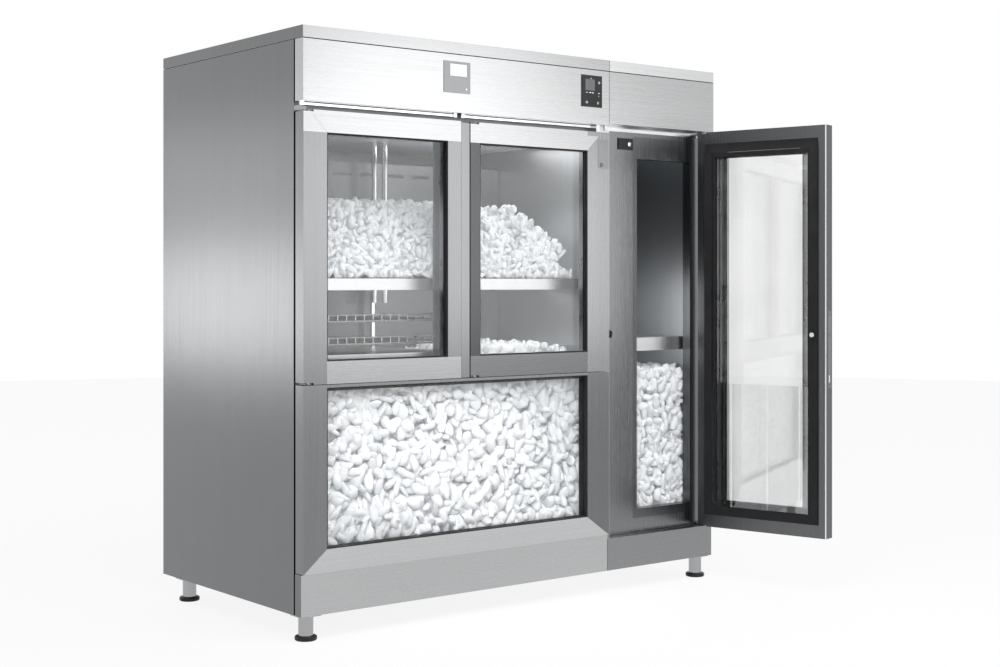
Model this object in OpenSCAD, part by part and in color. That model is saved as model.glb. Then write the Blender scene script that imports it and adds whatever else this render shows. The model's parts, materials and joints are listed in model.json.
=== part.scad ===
// Two-section ice merchandiser freezer in brushed stainless steel.
// Left section: two glazed upper doors over a fixed glazed ice bin.
// Right section: one tall glazed door, which stands open at rest.
// The places below are first written in the cabinet's own coordinates: X from the left side,
// Y from the plane of the door faces towards the back, Z up from the floor.
// on_floor() then moves them to the model's origin, the middle of its footprint.

/* [Overall] */
// Depth from the door faces to the back
total_d = 1000; // [960:5:1100]
// Height from the floor to the top of the caps
total_h = 2010; // [1990:5:2080]
// Width of the left section
left_w = 1340; // [1300:5:1380]
// Width of the right section
right_w = 558.5; // [540:0.5:640]
// Open seam between the two sections
section_gap = 1.5; // [1:0.5:3]
// Height of the open space under the plinth
foot_space = 85; // [70:5:120]

/* [Front levels] */
// Top of the left section's plinth
plinth_top_left = 222; // [215:1:230]
// Top of the right section's plinth
plinth_top_right = 206; // [200:1:212]
// Height of the left section's header and cap
header_left_h = 245; // [240:1:250]
// Height of the right section's header and cap
header_right_h = 239; // [234:1:242]
// Height of the cap's rim
cap_h = 40; // [30:1:50]
// How far the plinth stands back from the door faces
plinth_setback = 12; // [5:1:20]
// Bottom edge of the two upper doors
upper_door_low = 840; // [830:1:850]
// Gap between the two upper doors and the header over them
door_head_gap = 28; // [25:1:35]

/* [Body] */
// Thickness of the insulated walls
wall_t = 50; // [45:1:55]
// Thickness of the insulated floors and ceilings
deck_t = 64; // [60:1:66]
// Thickness of the folded steel sheet
sheet_t = 2; // [1.5:0.5:3]
// Depth of the front frame behind the door gaskets
frame_t = 40; // [30:1:50]
// Width of the centre post behind the two upper doors
post_w = 144; // [140:1:148]
// Width of the visible strip between the two upper doors
mullion_w = 37; // [30:1:40]
// Distance of that strip's centre from the left side
mullion_x = 661.5; // [655:0.5:668]
// Height of the cross rail behind the upper doors' lower edge
transom_h = 55; // [50:1:58]

/* [Doors] */
// Thickness of a door leaf and of the header panels
door_t = 50; // [46:1:56]
// Room for the gasket between a door leaf and the body
gasket_gap = 8; // [7:0.5:12]
// Open gap round each door leaf
door_gap = 2; // [1.8:0.1:3]
// Distance of a pivot from the leaf's hinge edge
pivot_in = 22; // [20:1:24]
// Distance of a pivot from the leaf's outer face
pivot_deep = 8; // [7:0.5:9]
// Radius of a pivot pin
pivot_r = 4; // [3:0.5:5]
// Radial clearance of a pivot pin in its bore
pivot_clear = 0.05; // [0.02:0.01:0.1]
// Length of a pivot pin inside the leaf
pivot_len = 16; // [12:1:20]
// Thickness of a pivot bracket
bracket_t = 5; // [4:0.5:6]
// Angle at which the tall door stands open at rest
tall_open = 104; // [90:1:110]

/* [Door frames] */
// Width of the left stile of the left door, and of the lower window
outer_stile = 90; // [80:1:95]
// Width of the stiles next to the mullion: the left door's
inner_stile = 57; // [50:1:60]
// Width of the stile next to the mullion: the right door's
hinge_stile = 42; // [40:1:46]
// Width of the stile that carries the lock
lock_stile = 108; // [100:1:115]
// Height of the upper doors' top rail
top_rail = 72; // [66:1:78]
// Height of the upper doors' bottom rail
bottom_rail = 75; // [68:1:82]
// Height of the lower window's bottom rail
sill_rail = 76; // [70:1:84]
// Height of the lower window's slim top bar
slim_bar = 10; // [8:1:12]
// Width of the tall door's outer stiles
tall_stile = 110; // [100:1:120]
// Height of the tall door's outer top rail
tall_top_rail = 102; // [95:1:110]
// Height of the tall door's outer bottom rail
tall_low_rail = 94; // [89:1:104]
// Thickness of the frame in front of the glass
glass_in = 18; // [16:1:20]
// Overlap of the glass behind the frame
glass_lap = 12; // [8:1:14]
// Thickness of one pane
pane_t = 4; // [3:1:6]
// Width of the black seal that lines a window
seal_w = 4; // [3:1:6]
// Thickness of the whole insulating glass unit
unit_t = 24; // [20:1:28]
// Height of the ice guard's top edge on the tall door
guard_top = 778; // [700:2:860]

/* [Gaskets] */
// Distance from a leaf's edge to its gasket, on the upper doors
gasket_in = 24; // [22:1:26]
// Width of the upper doors' gasket
gasket_w = 22; // [18:1:22]
// Distance from the tall door's side edges to its gasket
tall_gasket_side = 34; // [30:1:36]
// Width of that gasket at the sides
tall_gasket_w = 32; // [28:1:34]
// Distance from the tall door's top edge to its gasket
tall_gasket_top = 85; // [84:1:90]
// Distance from the tall door's bottom edge to its gasket
tall_gasket_low = 50; // [48:1:52]
// Width of that gasket at the top and bottom
tall_gasket_rail = 36; // [34:1:44]

/* [Right opening] */
// Left edge of the black opening profile, from the section's left side
opening_in = 172; // [160:1:180]
// Width of the black opening profile
profile_w = 22; // [20:1:24]
// Height of the steel sill above the plinth
sill_h = 55; // [50:1:56]
// Height of the black profile on the sill
profile_low = 35; // [30:1:38]
// Height of the steel head under the header
head_h = 36; // [30:1:38]
// Height of the black profile under the head
profile_top = 83; // [76:1:90]

/* [Inside] */
// Top of the long shelf
shelf_z = 1187; // [1170:1:1200]
// Height of the long shelf's front lip
shelf_lip = 40; // [30:1:50]
// Top of the right shelf
right_shelf_z = 957; // [930:1:980]
// Height of the right shelf's lip
right_lip = 52; // [40:1:56]
// Front edge of the shelves
shelf_y = 110; // [104:1:120]
// Front of the false back wall
plenum_y = 612; // [604:2:640]
// Top of the plate over the left half of the bin
plate_z = 930; // [925:1:940]
// Radius of the two shelf hanger tubes
hanger_r = 11; // [8:1:13]
// Depth at which the hanger tubes stand
hanger_y = 540; // [535:5:560]
// Distance between the hanger tubes
hanger_gap = 48; // [40:1:56]
// How far the hanger tubes reach below the shelf
hanger_low = 90; // [70:1:100]
// Height of the upper wire rack
rack_high = 1040; // [1030:1:1050]
// Height of the lower wire rack
rack_low = 962; // [958:1:975]
// Radius of the racks' frame rods
rod_r = 4; // [3:0.5:5]
// Radius of the racks' cross wires
wire_r = 2; // [1.5:0.5:3]
// Number of cross wires in a rack
wire_n = 15; // [9:1:20]

/* [Ice] */
// Height of the heap on the long shelf
heap_h = 276; // [240:2:290]
// Depth of that heap
heap_d = 400; // [360:5:410]
// Height of the ice in the right section
column_h = 560; // [500:5:600]
// Height of the mound over the right half of the bin
mound_h = 108; // [90:1:120]
// Roughness of the ice faces
lump = 7; // [3:0.5:8]

/* [Legs] */
// Radius of a leg tube
leg_r = 25; // [20:1:28]
// Radius of a foot pad
pad_r = 37; // [34:1:42]
// Height of a foot pad
pad_h = 16; // [12:1:20]
// Distance of a leg's centre from the side
leg_x = 46; // [44:1:60]
// Distance of a leg's centre from the door faces
leg_y = 58; // [50:1:120]
// Distance of a rear leg's centre from the back
leg_back = 122; // [80:1:130]

/* [Controls] */
// Width of the controller's bezel
control_w = 99; // [90:1:105]
// Height of the controller's bezel
control_h = 118; // [110:1:125]
// Distance from the section's right side to the bezel
control_in = 41; // [36:1:60]
// Distance of the bezel from the header's lower edge
control_up = 63; // [50:1:75]
// Radius of a controller button
button_r = 5; // [4:0.5:6]
// Travel of a controller button
button_travel = 1.2; // [0.8:0.1:1.5]
// Width of the plain plate on the header
plate_w = 115; // [100:1:120]
// Height of the plain plate on the header
plate_h = 110; // [100:1:118]
// Left edge of that plate
plate_x = 565; // [540:1:590]
// Distance of that plate from the header's lower edge
badge_up = 68; // [50:1:80]

/* [Locks] */
// Width of the lock plate on the right upper door
lock_w = 54; // [48:1:56]
// Height of that lock plate
lock_h = 108; // [96:1:112]
// Radius of a lock cylinder
lock_r = 8; // [7:0.5:9]
// Radius of the upper door's lock bolt
bolt_r = 4; // [3:0.5:5]
// Throw of the upper door's lock bolt
bolt_throw = 12; // [8:1:14]
// Height of the tall door's lock spindle
turn_z = 976; // [960:1:990]
// Height of the tall door's deadbolt
dead_z = 810; // [800:1:812]
// Throw of the deadbolt
dead_throw = 11; // [8:1:12]

/* [Machine] */
// Distance of the compressor from the left side
comp_x = 330; // [300:5:360]
// Distance of the compressor from the door faces
comp_y = 600; // [560:5:640]
// Radius of the compressor shell
comp_r = 85; // [75:1:90]
// Height of the compressor shell under its dome
comp_h = 120; // [100:1:125]
// Distance from the compressor to the first pipe
pipe_out = 120; // [115:1:130]
// Distance between the two pipes
pipe_gap = 40; // [36:1:50]
// Distance of the condenser from the left side
coil_left = 620; // [600:5:640]
// Width of the condenser
coil_w = 280; // [260:5:300]
// Distance of the condenser from the door faces
coil_front = 330; // [300:5:350]
// Depth of the condenser
coil_d = 60; // [50:2:70]
// Height of the condenser
coil_h = 180; // [170:2:184]
// Distance of the evaporator from the left side
evap_left = 280; // [200:5:320]
// Width of the evaporator
evap_w = 620; // [560:5:700]
// Height of the evaporator
evap_h = 230; // [200:5:250]
// Distance of the evaporator below the machine bay's floor
evap_drop = 205; // [190:5:230]
// Depth of the evaporator with its fan
evap_d = 130; // [126:2:140]
// Radius of the condenser fan
fan_r = 78; // [70:1:82]
// Number of fins on each coil
fin_n = 22; // [12:1:40]
// Number of fan blades
blade_n = 5; // [3:1:7]
// Radius of the bore in the cable gland
gland_r = 6; // [5:0.5:7]
// Distance of the cable gland from the left side
gland_x = 200; // [150:5:250]
// Height of the cable gland over the machine bay's floor
gland_up = 85; // [60:5:110]
// Distance of the first vent from the left side
vent_left = 480; // [440:5:500]
// Width of one vent slot
vent_w = 170; // [150:5:180]
// Distance from one row of slots to the next, sideways
vent_step = 220; // [200:5:240]
// Height of one vent slot
vent_slot = 9; // [6:1:10]

/* [Hidden] */
$fn = 48;

// Small fixed clearances
slip = 0.3;        // between solids that only lie next to each other
over = 1;          // how far a cutting solid runs past the face it cuts

lip_w = 26;        // return lips of the folded panels

// Whole width and the levels under the headers
total_w = left_w + section_gap + right_w;
header_low_left = total_h - header_left_h;
header_low_right = total_h - header_right_h;
upper_door_high = header_low_left - door_head_gap;
control_z = header_low_left + control_up;
badge_z = header_low_left + badge_up;

// Body planes
frame_y = door_t + gasket_gap;
frame_back = frame_y + frame_t;
back_y = total_d - wall_t;
body_top = total_h - cap_h - section_gap;
ceiling_z = header_low_left;
right_x = left_w + section_gap;
left_inner = left_w - wall_t;
right_inner = right_x + wall_t;
right_end = total_w - wall_t;
bin_floor = plinth_top_left + deck_t;
right_floor = plinth_top_right + deck_t;

// Door leaves, each as [from, to]
left_leaf_x = [door_gap, mullion_x - mullion_w/2 - door_gap];
right_leaf_x = [mullion_x + mullion_w/2 + door_gap, left_w - door_gap];
upper_leaf_z = [upper_door_low, upper_door_high];
tall_leaf_x = [right_x + section_gap, total_w - section_gap];
tall_leaf_z = [plinth_top_right + door_gap, header_low_right - 2*door_gap];
lower_frame_x = [door_gap, left_w - door_gap];
lower_frame_z = [plinth_top_left + door_gap, upper_door_low - door_gap];

// Windows in the outer faces
left_win_x = [left_leaf_x[0] + outer_stile, left_leaf_x[1] - inner_stile];
right_win_x = [right_leaf_x[0] + hinge_stile, right_leaf_x[1] - lock_stile];
upper_win_z = [upper_door_low + bottom_rail, upper_door_high - top_rail];
lower_win_x = [left_win_x[0], right_win_x[1]];
lower_win_z = [lower_frame_z[0] + sill_rail, lower_frame_z[1] - slim_bar];
tall_win_x = [tall_leaf_x[0] + tall_stile, tall_leaf_x[1] - tall_stile];
tall_win_z = [tall_leaf_z[0] + tall_low_rail, tall_leaf_z[1] - tall_top_rail];

// The tall door's inner side: its rebate and its clear view
tall_rebate_x = grow(tall_leaf_x, -(tall_gasket_side + tall_gasket_w));
tall_rebate_z = [tall_leaf_z[0] + tall_gasket_low + tall_gasket_rail,
    tall_leaf_z[1] - tall_gasket_top - tall_gasket_rail];
tall_bead_w = 11;
tall_bead_rail = 18;
tall_view_x = grow(tall_rebate_x, -tall_bead_w);
tall_view_z = grow(tall_rebate_z, -tall_bead_rail);

// Pivots
left_pivot_x = left_leaf_x[0] + pivot_in;
right_pivot_x = right_leaf_x[0] + pivot_in;
tall_pivot_x = tall_leaf_x[1] - pivot_in;
pivot_pad = 14;                  // half the width of a pivot bracket
notch_w = pivot_in + pivot_pad + 2;
notch_h = bracket_t + 1.5;

// Front frame openings
post_x = [mullion_x - post_w/2, mullion_x + post_w/2];
lip_in = 12;                     // how far the frame reaches past the side panels
transom_z = [upper_door_low - 5, upper_door_low - 5 + transom_h];
upper_open_z = [transom_z[1], upper_door_high - gasket_in - gasket_w - 5];
lower_open_z = [bin_floor, transom_z[0]];
bay_open_x = [wall_t + lip_in, left_inner - lip_in];

// Opening of the right section: steel edge, then the black profile
steel_open_x = [right_x + opening_in, right_end];
steel_open_z = [plinth_top_right + sill_h, header_low_right - head_h];
clear_x = [steel_open_x[0] + profile_w, steel_open_x[1] - profile_w - 2];
clear_z = [steel_open_z[0] + profile_low, steel_open_z[1] - profile_top];

// Inside places
shelf_x = [wall_t + 2, left_inner - 2];
right_shelf_x = [right_inner + 2, right_end - 2];
hanger_x = [mullion_x - hanger_gap/2, mullion_x + hanger_gap/2];
rack_x = [wall_t + 12, mullion_x - 18];
rack_y = [shelf_y + 10, plenum_y - 24];
standard_w = 12;
ice_gap = 4;                     // room between the ice and what holds it

// Lock places
lock_x = right_leaf_x[1] - lock_stile/2 - 1;
lock_plate_x = [right_leaf_x[1] - lock_w - 2, right_leaf_x[1] - 2];
lock_plate_z = [upper_door_high - 28 - lock_h, upper_door_high - 28];
lock_cyl_x = lock_plate_x[0] + 17;
lock_cyl_z = lock_plate_z[0] + 13;
bolt_z = [lock_cyl_z + 26, upper_door_high - 2];
bolt_y = 27;
keeper_z = [upper_door_high + 3, header_low_left];
turn_x = tall_leaf_x[0] + 50;
dead_y = 22;
dead_len = 60;
dead_h = 26;
dead_t = 10;

// Machine bay and coils
bay_z = ceiling_z;
comp_at = [comp_x, comp_y];
coil_x = [coil_left, coil_left + coil_w];
coil_y = [coil_front, coil_front + coil_d];
fan_x = (coil_x[0] + coil_x[1])/2;
fan_z = bay_z + 4 + coil_h/2;
evap_x = [evap_left, evap_left + evap_w];
evap_z = [ceiling_z - evap_drop - evap_h, ceiling_z - evap_drop];
evap_y = [back_y - evap_d, back_y];
evap_front = 30;                 // room for the fan plate in front of the coil
evap_fan_x = (evap_x[0] + evap_x[1])/2;
evap_fan_z = (evap_z[0] + evap_z[1])/2;
gland_at = [gland_x, bay_z + gland_up];
gland_flange = 3;
gland_nut = 12;
gland_out = gland_flange + gland_nut;

// Origin of the model: the middle of its footprint, with the tall door open
open_c = cos(tall_open);
open_s = sin(tall_open);
tall_swing = tall_leaf_x[1] - tall_leaf_x[0] - pivot_in;
reach_x = max(total_w, tall_pivot_x - tall_swing*open_c + pivot_deep*open_s);
reach_y = pivot_deep - tall_swing*open_s + (door_t - pivot_deep)*open_c;
origin_x = reach_x/2;
origin_y = (reach_y + total_d + gland_out)/2;

function grow(span, by) = [span[0] - by, span[1] + by];
function mid(span) = (span[0] + span[1])/2;

// Repeatable roughness from two whole numbers, between -1 and 1
function rough(i, j, s) = sin(i*137.5 + s*61)*cos(j*113.3 + i*47.7 + s*29);

// ---------------------------------------------------------------- shared shapes

module on_floor() { translate([-origin_x, -origin_y, 0]) children(); }

module block(x, y, z) {
    translate([x[0], y[0], z[0]]) cube([x[1] - x[0], y[1] - y[0], z[1] - z[0]]);
}

// Upright rectangular ring in the plane of a door
module ring(x_out, z_out, x_in, z_in, y) {
    difference() {
        block(x_out, y, z_out);
        block(x_in, grow(y, over), z_in);
    }
}

// Folded sheet panel, open at the back between its return lips
module folded_panel(x, y, z) {
    difference() {
        block(x, y, z);
        block(grow(x, -sheet_t), [y[0] + sheet_t, y[1] - sheet_t], grow(z, -sheet_t));
        block(grow(x, -lip_w), [y[1] - sheet_t - over, y[1] + over], grow(z, -lip_w));
    }
}

module bar_x(x, y, z, r) { translate([x[0], y, z]) rotate([0, 90, 0]) cylinder(r=r, h=x[1] - x[0]); }
module bar_y(x, y, z, r) { translate([x, y[0], z]) rotate([-90, 0, 0]) cylinder(r=r, h=y[1] - y[0]); }
module bar_z(x, y, z, r) { translate([x, y, z[0]]) cylinder(r=r, h=z[1] - z[0]); }

// Closed solid between a flat base and a grid of heights
module height_solid(x, y, base, nx, ny, height) {
    top = [for (j = [0:ny], i = [0:nx])
        let (px = x[0] + (x[1] - x[0])*i/nx, py = y[0] + (y[1] - y[0])*j/ny)
        [px, py, height(px, py, i, j)]];
    rim = concat([for (i = [0:nx]) i], [for (j = [1:ny]) j*(nx + 1) + nx],
        [for (i = [nx - 1:-1:0]) ny*(nx + 1) + i], [for (j = [ny - 1:-1:1]) j*(nx + 1)]);
    foot = [for (k = rim) [top[k][0], top[k][1], base]];
    n = len(top);
    m = len(rim);
    cover = [for (j = [0:ny - 1], i = [0:nx - 1], half = [0, 1])
        let (a = j*(nx + 1) + i, b = a + nx + 1)
        half == 0 ? [a, b, b + 1] : [a, b + 1, a + 1]];
    sides = [for (k = [0:m - 1], half = [0, 1])
        let (k2 = (k + 1)%m)
        half == 0 ? [n + k, rim[k], rim[k2]] : [n + k, rim[k2], n + k2]];
    bottom = [for (k = [0:m - 1]) [n + k, n + (k + 1)%m, n + m]];
    polyhedron(points = concat(top, foot, [[mid(x), mid(y), base]]), faces = concat(cover, sides, bottom));
}

// The tall door and all that rides on it, turned open about its pivot
module swung_open() {
    translate([tall_pivot_x, pivot_deep, 0]) rotate([0, 0, tall_open])
        translate([-tall_pivot_x, -pivot_deep, 0]) children();
}

// ---------------------------------------------------------------- body

module side_panel_left() {
    color("silver") block([0, wall_t], [frame_y, total_d], [foot_space, body_top]);
}

module side_panel_right() {
    color("silver") block([right_end, total_w], [frame_y, total_d], [foot_space, body_top]);
}

// The two inner side walls, one of each section, with the spacers that join them
module partition_panels() {
    color("silver") {
        for (y = [160, total_d - 120], z = [foot_space + 60, body_top - 60])
            bar_x([left_w, right_x], y, z, 15);
        block([left_inner, left_w], [frame_y, total_d], [foot_space, body_top]);
        difference() {
            block([right_x, right_inner], [frame_y, total_d], [foot_space, body_top]);
            turn_recess();
        }
    }
}

// Back walls with a louvred vent for the machine bay in the left one
module back_panels() {
    color("silver") {
        difference() {
            block([wall_t, left_inner], [back_y, total_d], [foot_space, body_top]);
            for (k = [2.5:8.5], m = [0:2])
                block([vent_left + m*vent_step, vent_left + m*vent_step + vent_w],
                    [back_y - over, total_d + over],
                    [bay_z + k*2*vent_slot, bay_z + k*2*vent_slot + vent_slot]);
            bar_y(gland_at[0], [back_y - over, total_d + over], gland_at[1], gland_r + 4);
        }
        block([right_inner, right_end], [back_y, total_d], [foot_space, body_top]);
    }
}

// Insulated floors and ceilings of both sections
module insulated_decks() {
    inner = [frame_back, back_y];
    color("gainsboro") {
        block([wall_t, left_inner], inner, [plinth_top_left, bin_floor]);
        difference() {
            block([wall_t, left_inner], inner, [ceiling_z - deck_t, ceiling_z]);
            for (x = pipe_drop) bar_z(x, pipe_drop_y, [ceiling_z - deck_t - over, ceiling_z + over], pipe_hole_r);
        }
        block([right_inner, right_end], inner, [plinth_top_right, right_floor]);
        block([right_inner, right_end], inner, [ceiling_z - deck_t, ceiling_z]);
    }
}

// Channel frames under the floors
module base_frame() {
    rail = 60;
    color("gray") {
        difference() {
            block([wall_t, left_inner], [frame_y, back_y], [foot_space, plinth_top_left]);
            block([wall_t + rail, left_inner - rail], [frame_y + rail, back_y - rail],
                [foot_space - over, plinth_top_left + over]);
        }
        difference() {
            block([right_inner, right_end], [frame_y, back_y], [foot_space, plinth_top_right]);
            block([right_inner + rail, right_end - rail], [frame_y + rail, back_y - rail],
                [foot_space - over, plinth_top_right + over]);
        }
    }
}

// Top caps: folded trays that stand on the walls with a set-back foot, which leaves a fine seam
module top_caps() {
    foot_in = 6;
    low = total_h - cap_h;
    color("silver") for (x = [[0, left_w], [right_x, total_w]]) {
        difference() {
            block(x, [0, total_d], [low, total_h]);
            block(grow(x, -wall_t/2), grow([0, total_d], -wall_t/2), [low - over, total_h - sheet_t]);
        }
        difference() {
            block(grow(x, -foot_in), grow([0, total_d], -foot_in), [body_top, low]);
            block(grow(x, -wall_t/2), grow([0, total_d], -wall_t/2), [body_top - over, low + over]);
        }
    }
}

module header_left() {
    color("whitesmoke") difference() {
        folded_panel([0, left_w], [0, door_t], [header_low_left, body_top]);
        block(grow(control_span, -3), [-over, sheet_t + over], grow(control_rise, -3));
    }
}

module header_right() {
    color("whitesmoke") folded_panel([right_x, total_w], [0, door_t], [header_low_right, body_top]);
}

module plinths() {
    color("silver") {
        folded_panel([0, left_w], [plinth_setback, door_t], [foot_space, plinth_top_left]);
        folded_panel([right_x, total_w], [plinth_setback, door_t], [foot_space, plinth_top_right]);
    }
}

// Fixed frame behind the left doors: head, centre post, cross rail and sill
module front_frame_left() {
    y = [frame_y, frame_back];
    color("gray") difference() {
        block([wall_t, left_inner], y, [plinth_top_left, body_top]);
        block([bay_open_x[0], post_x[0]], grow(y, over), upper_open_z);
        block([post_x[1], bay_open_x[1]], grow(y, over), upper_open_z);
        block(bay_open_x, grow(y, over), lower_open_z);
    }
}

module front_frame_right() {
    y = [frame_y, frame_back];
    color("silver") difference() {
        block([right_inner, right_end], y, [plinth_top_right, body_top]);
        block([steel_open_x[0], right_end + over], grow(y, over), steel_open_z);
        turn_recess();
        switch_pocket();
    }
}

// Room for the thumb turn behind the shut door
module turn_recess() { bar_y(turn_x, [frame_y - over, turn_out + 6], turn_z, turn_r + 6); }

// Black plastic profile that lines the right opening
module opening_profile() {
    color("black") ring(steel_open_x, steel_open_z, clear_x, clear_z, [frame_y, frame_back]);
}

// Foam seals behind the header and plinth panels and round the lower window frame
module panel_seals() {
    y = [door_t, frame_y];
    in = 10;
    w = 14;
    spans = [
        [[0, left_w], [header_low_left, body_top]],
        [[right_x, total_w], [header_low_right, body_top]],
        [[0, left_w], [foot_space, plinth_top_left]],
        [[right_x, total_w], [foot_space, plinth_top_right]],
        [lower_frame_x, lower_frame_z]];
    color("black") for (s = spans)
        ring(grow(s[0], -in), grow(s[1], -in), grow(s[0], -in - w), grow(s[1], -in - w), y);
}

// The strip that shows between the two upper doors
module mullion_strip() {
    color("whitesmoke") block([mullion_x - mullion_w/2, mullion_x + mullion_w/2],
        [2, frame_y], [upper_door_low, upper_door_high - 4]);
}

// ---------------------------------------------------------------- head rails and pivots

head_strip_h = 22;
rail_h = 8;
rail_z = header_low_left - 10;
rail_y = 36;
end_block = 14;
left_rails = [[end_block + 4, mullion_x - 22], [mullion_x + 12, left_w - end_block - 12]];

// Bright bars in the gap over the upper doors with their end blocks, the flat strip over the
// tall door, and the block that takes the lock bolt
module head_rails() {
    color("silver") {
        for (x = left_rails) {
            block(x, [rail_y, rail_y + rail_h], [rail_z, rail_z + rail_h]);
            for (x_end = [x[0] - end_block/2, x[1] - end_block/2]) difference() {
                block([x_end, x_end + end_block], [rail_y - 4, frame_y], [rail_z - 2, header_low_left]);
                block(grow(x, 0), [rail_y, rail_y + rail_h], [rail_z, rail_z + rail_h]);
            }
        }
        block([right_x + 22, tall_pivot_x - pivot_pad - 2],
            [frame_y - 5, frame_y], [header_low_right - head_strip_h + 2, header_low_right]);
        difference() {
            block([lock_cyl_x - 9, lock_cyl_x + 9], [bolt_y - 9, frame_y], keeper_z);
            bar_z(lock_cyl_x, bolt_y, [keeper_z[0] - over, keeper_z[0] + bolt_throw + 2], bolt_r + 0.5);
            block([lock_cyl_x - 9 - over, lock_cyl_x + 9 + over], [rail_y - slip, rail_y + rail_h + slip],
                [rail_z - slip, rail_z + rail_h + slip]);
        }
    }
}

// Pivot places: x, underside of the plate, -1 where the pin points down, 1 where it points up
pivots = [
    [left_pivot_x, upper_door_high - bracket_t, -1],
    [left_pivot_x, upper_door_low, 1],
    [right_pivot_x, upper_door_high - bracket_t, -1],
    [right_pivot_x, upper_door_low, 1],
    [tall_pivot_x, tall_leaf_z[1] - bracket_t, -1],
    [tall_pivot_x, tall_leaf_z[0], 1]];

// Flat plates with a round nose that hold the pivot pins
module pivot_brackets() {
    color("dimgray") for (p = pivots) difference() {
        union() {
            block([p[0] - pivot_pad, p[0] + pivot_pad], [pivot_deep, frame_y], [p[1], p[1] + bracket_t]);
            bar_z(p[0], pivot_deep, [p[1], p[1] + bracket_t], pivot_deep - 1);
        }
        bar_z(p[0], pivot_deep, [p[1] - over, p[1] + bracket_t + over], pivot_r + pivot_clear/2);
    }
}

module pivot_pins() {
    color("silver") for (p = pivots) bar_z(p[0], pivot_deep,
        p[2] > 0 ? [p[1], p[1] + bracket_t + pivot_len] : [p[1] - pivot_len, p[1] + bracket_t], pivot_r);
}

// Cuts in a leaf for its two brackets, running to the hinge edge, and the two pivot bores
module pivot_cuts(x, edge, leaf_z) {
    span = edge < x ? [edge - over, edge + notch_w] : [edge - notch_w, edge + over];
    depth = pivot_len + notch_h + 2;
    block(span, [-over, door_t + over], [leaf_z[0] - over, leaf_z[0] + notch_h]);
    block(span, [-over, door_t + over], [leaf_z[1] - notch_h, leaf_z[1] + over]);
    bar_z(x, pivot_deep, [leaf_z[0], leaf_z[0] + depth], pivot_r + pivot_clear);
    bar_z(x, pivot_deep, [leaf_z[1] - depth, leaf_z[1]], pivot_r + pivot_clear);
}

// ---------------------------------------------------------------- glazed leaves

// Steel frame of a leaf: window in front, wider rebate for the glass behind
module leaf_frame(x, z, win_x, win_z, rebate_x, rebate_z) {
    difference() {
        block(x, [0, door_t], z);
        block(win_x, [-over, door_t + over], win_z);
        block(rebate_x, [glass_in, door_t + over], rebate_z);
    }
}

// Two panes of an insulating glass unit
module leaf_glass(rebate_x, rebate_z) {
    x = grow(rebate_x, -slip);
    z = grow(rebate_z, -slip);
    for (y0 = [glass_in + slip, glass_in + unit_t - pane_t]) block(x, [y0, y0 + pane_t], z);
}

// Black parts of a leaf: the spacer between the panes, the bead behind the glass, and the
// lining of the window in front of it
module leaf_seals(win_x, win_z, rebate_x, rebate_z, view_x, view_z) {
    x = grow(rebate_x, -slip);
    z = grow(rebate_z, -slip);
    ring(x, z, win_x[0] < view_x[0] ? grow(win_x, -seal_w) : grow(view_x, -seal_w),
        grow(view_z, -seal_w), [glass_in + slip + pane_t, glass_in + unit_t - pane_t]);
    ring(x, z, view_x, view_z, [glass_in + unit_t, door_t]);
    ring(win_x, win_z, grow(win_x, -seal_w), grow(win_z, -seal_w), [2, glass_in + slip]);
}

left_rebate_x = grow(left_win_x, glass_lap);
right_rebate_x = grow(right_win_x, glass_lap);
upper_rebate_z = grow(upper_win_z, glass_lap);
lower_rebate_x = grow(lower_win_x, glass_lap);
lower_rebate_z = [lower_win_z[0] - glass_lap, lower_win_z[1] + slim_bar/2];

// Fine grooves where the folded rails of a frame meet, on its outer face
groove_w = 1;
groove_d = 0.8;
module mitre(at, to) {
    dx = to[0] - at[0];
    dz = to[1] - at[1];
    translate([at[0], 0, at[1]]) rotate([0, -atan2(dz, dx), 0])
        translate([-2*groove_w, -over, -groove_w/2]) cube([norm([dx, dz]) + 4*groove_w, groove_d + over, groove_w]);
}

fold_in = 18;                    // fold line under the upper doors' top edge

module left_door_frame() {
    color("silver") difference() {
        leaf_frame(left_leaf_x, upper_leaf_z, left_win_x, upper_win_z, left_rebate_x, upper_rebate_z);
        pivot_cuts(left_pivot_x, left_leaf_x[0], upper_leaf_z);
        mitre([left_win_x[0] - (top_rail - fold_in), upper_door_high - fold_in], [left_win_x[0], upper_win_z[1]]);
        block([left_win_x[0] - (top_rail - fold_in), left_leaf_x[1] + over], [-over, groove_d],
            [upper_door_high - fold_in, upper_door_high - fold_in + groove_w]);
    }
}

module left_door_glass() { color("lightblue", 0.3) leaf_glass(left_rebate_x, upper_rebate_z); }

module left_door_seals() {
    color("black") {
        leaf_seals(left_win_x, upper_win_z, left_rebate_x, upper_rebate_z, left_win_x, upper_win_z);
        upper_gasket(left_leaf_x);
    }
}

// Magnetic gasket on the back of an upper door
module upper_gasket(x) {
    ring(grow(x, -gasket_in), grow(upper_leaf_z, -gasket_in), grow(x, -gasket_in - gasket_w),
        grow(upper_leaf_z, -gasket_in - gasket_w), [door_t, frame_y - slip]);
}

module right_door_frame() {
    color("silver") difference() {
        leaf_frame(right_leaf_x, upper_leaf_z, right_win_x, upper_win_z, right_rebate_x, upper_rebate_z);
        pivot_cuts(right_pivot_x, right_leaf_x[0], upper_leaf_z);
        mitre([right_win_x[1], upper_win_z[1]], [right_win_x[1] + top_rail - fold_in, upper_door_high - fold_in]);
        block([right_leaf_x[0] - over, right_win_x[1] + top_rail - fold_in], [-over, groove_d],
            [upper_door_high - fold_in, upper_door_high - fold_in + groove_w]);
        // bores for the lock cylinder and its bolt
        bar_y(lock_cyl_x, [-over, bolt_y + bolt_r], lock_cyl_z, lock_r + slip);
        bar_z(lock_cyl_x, bolt_y, [lock_cyl_z, upper_door_high + over], bolt_r + 0.1);
    }
}

module right_door_glass() { color("lightblue", 0.3) leaf_glass(right_rebate_x, upper_rebate_z); }

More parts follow.
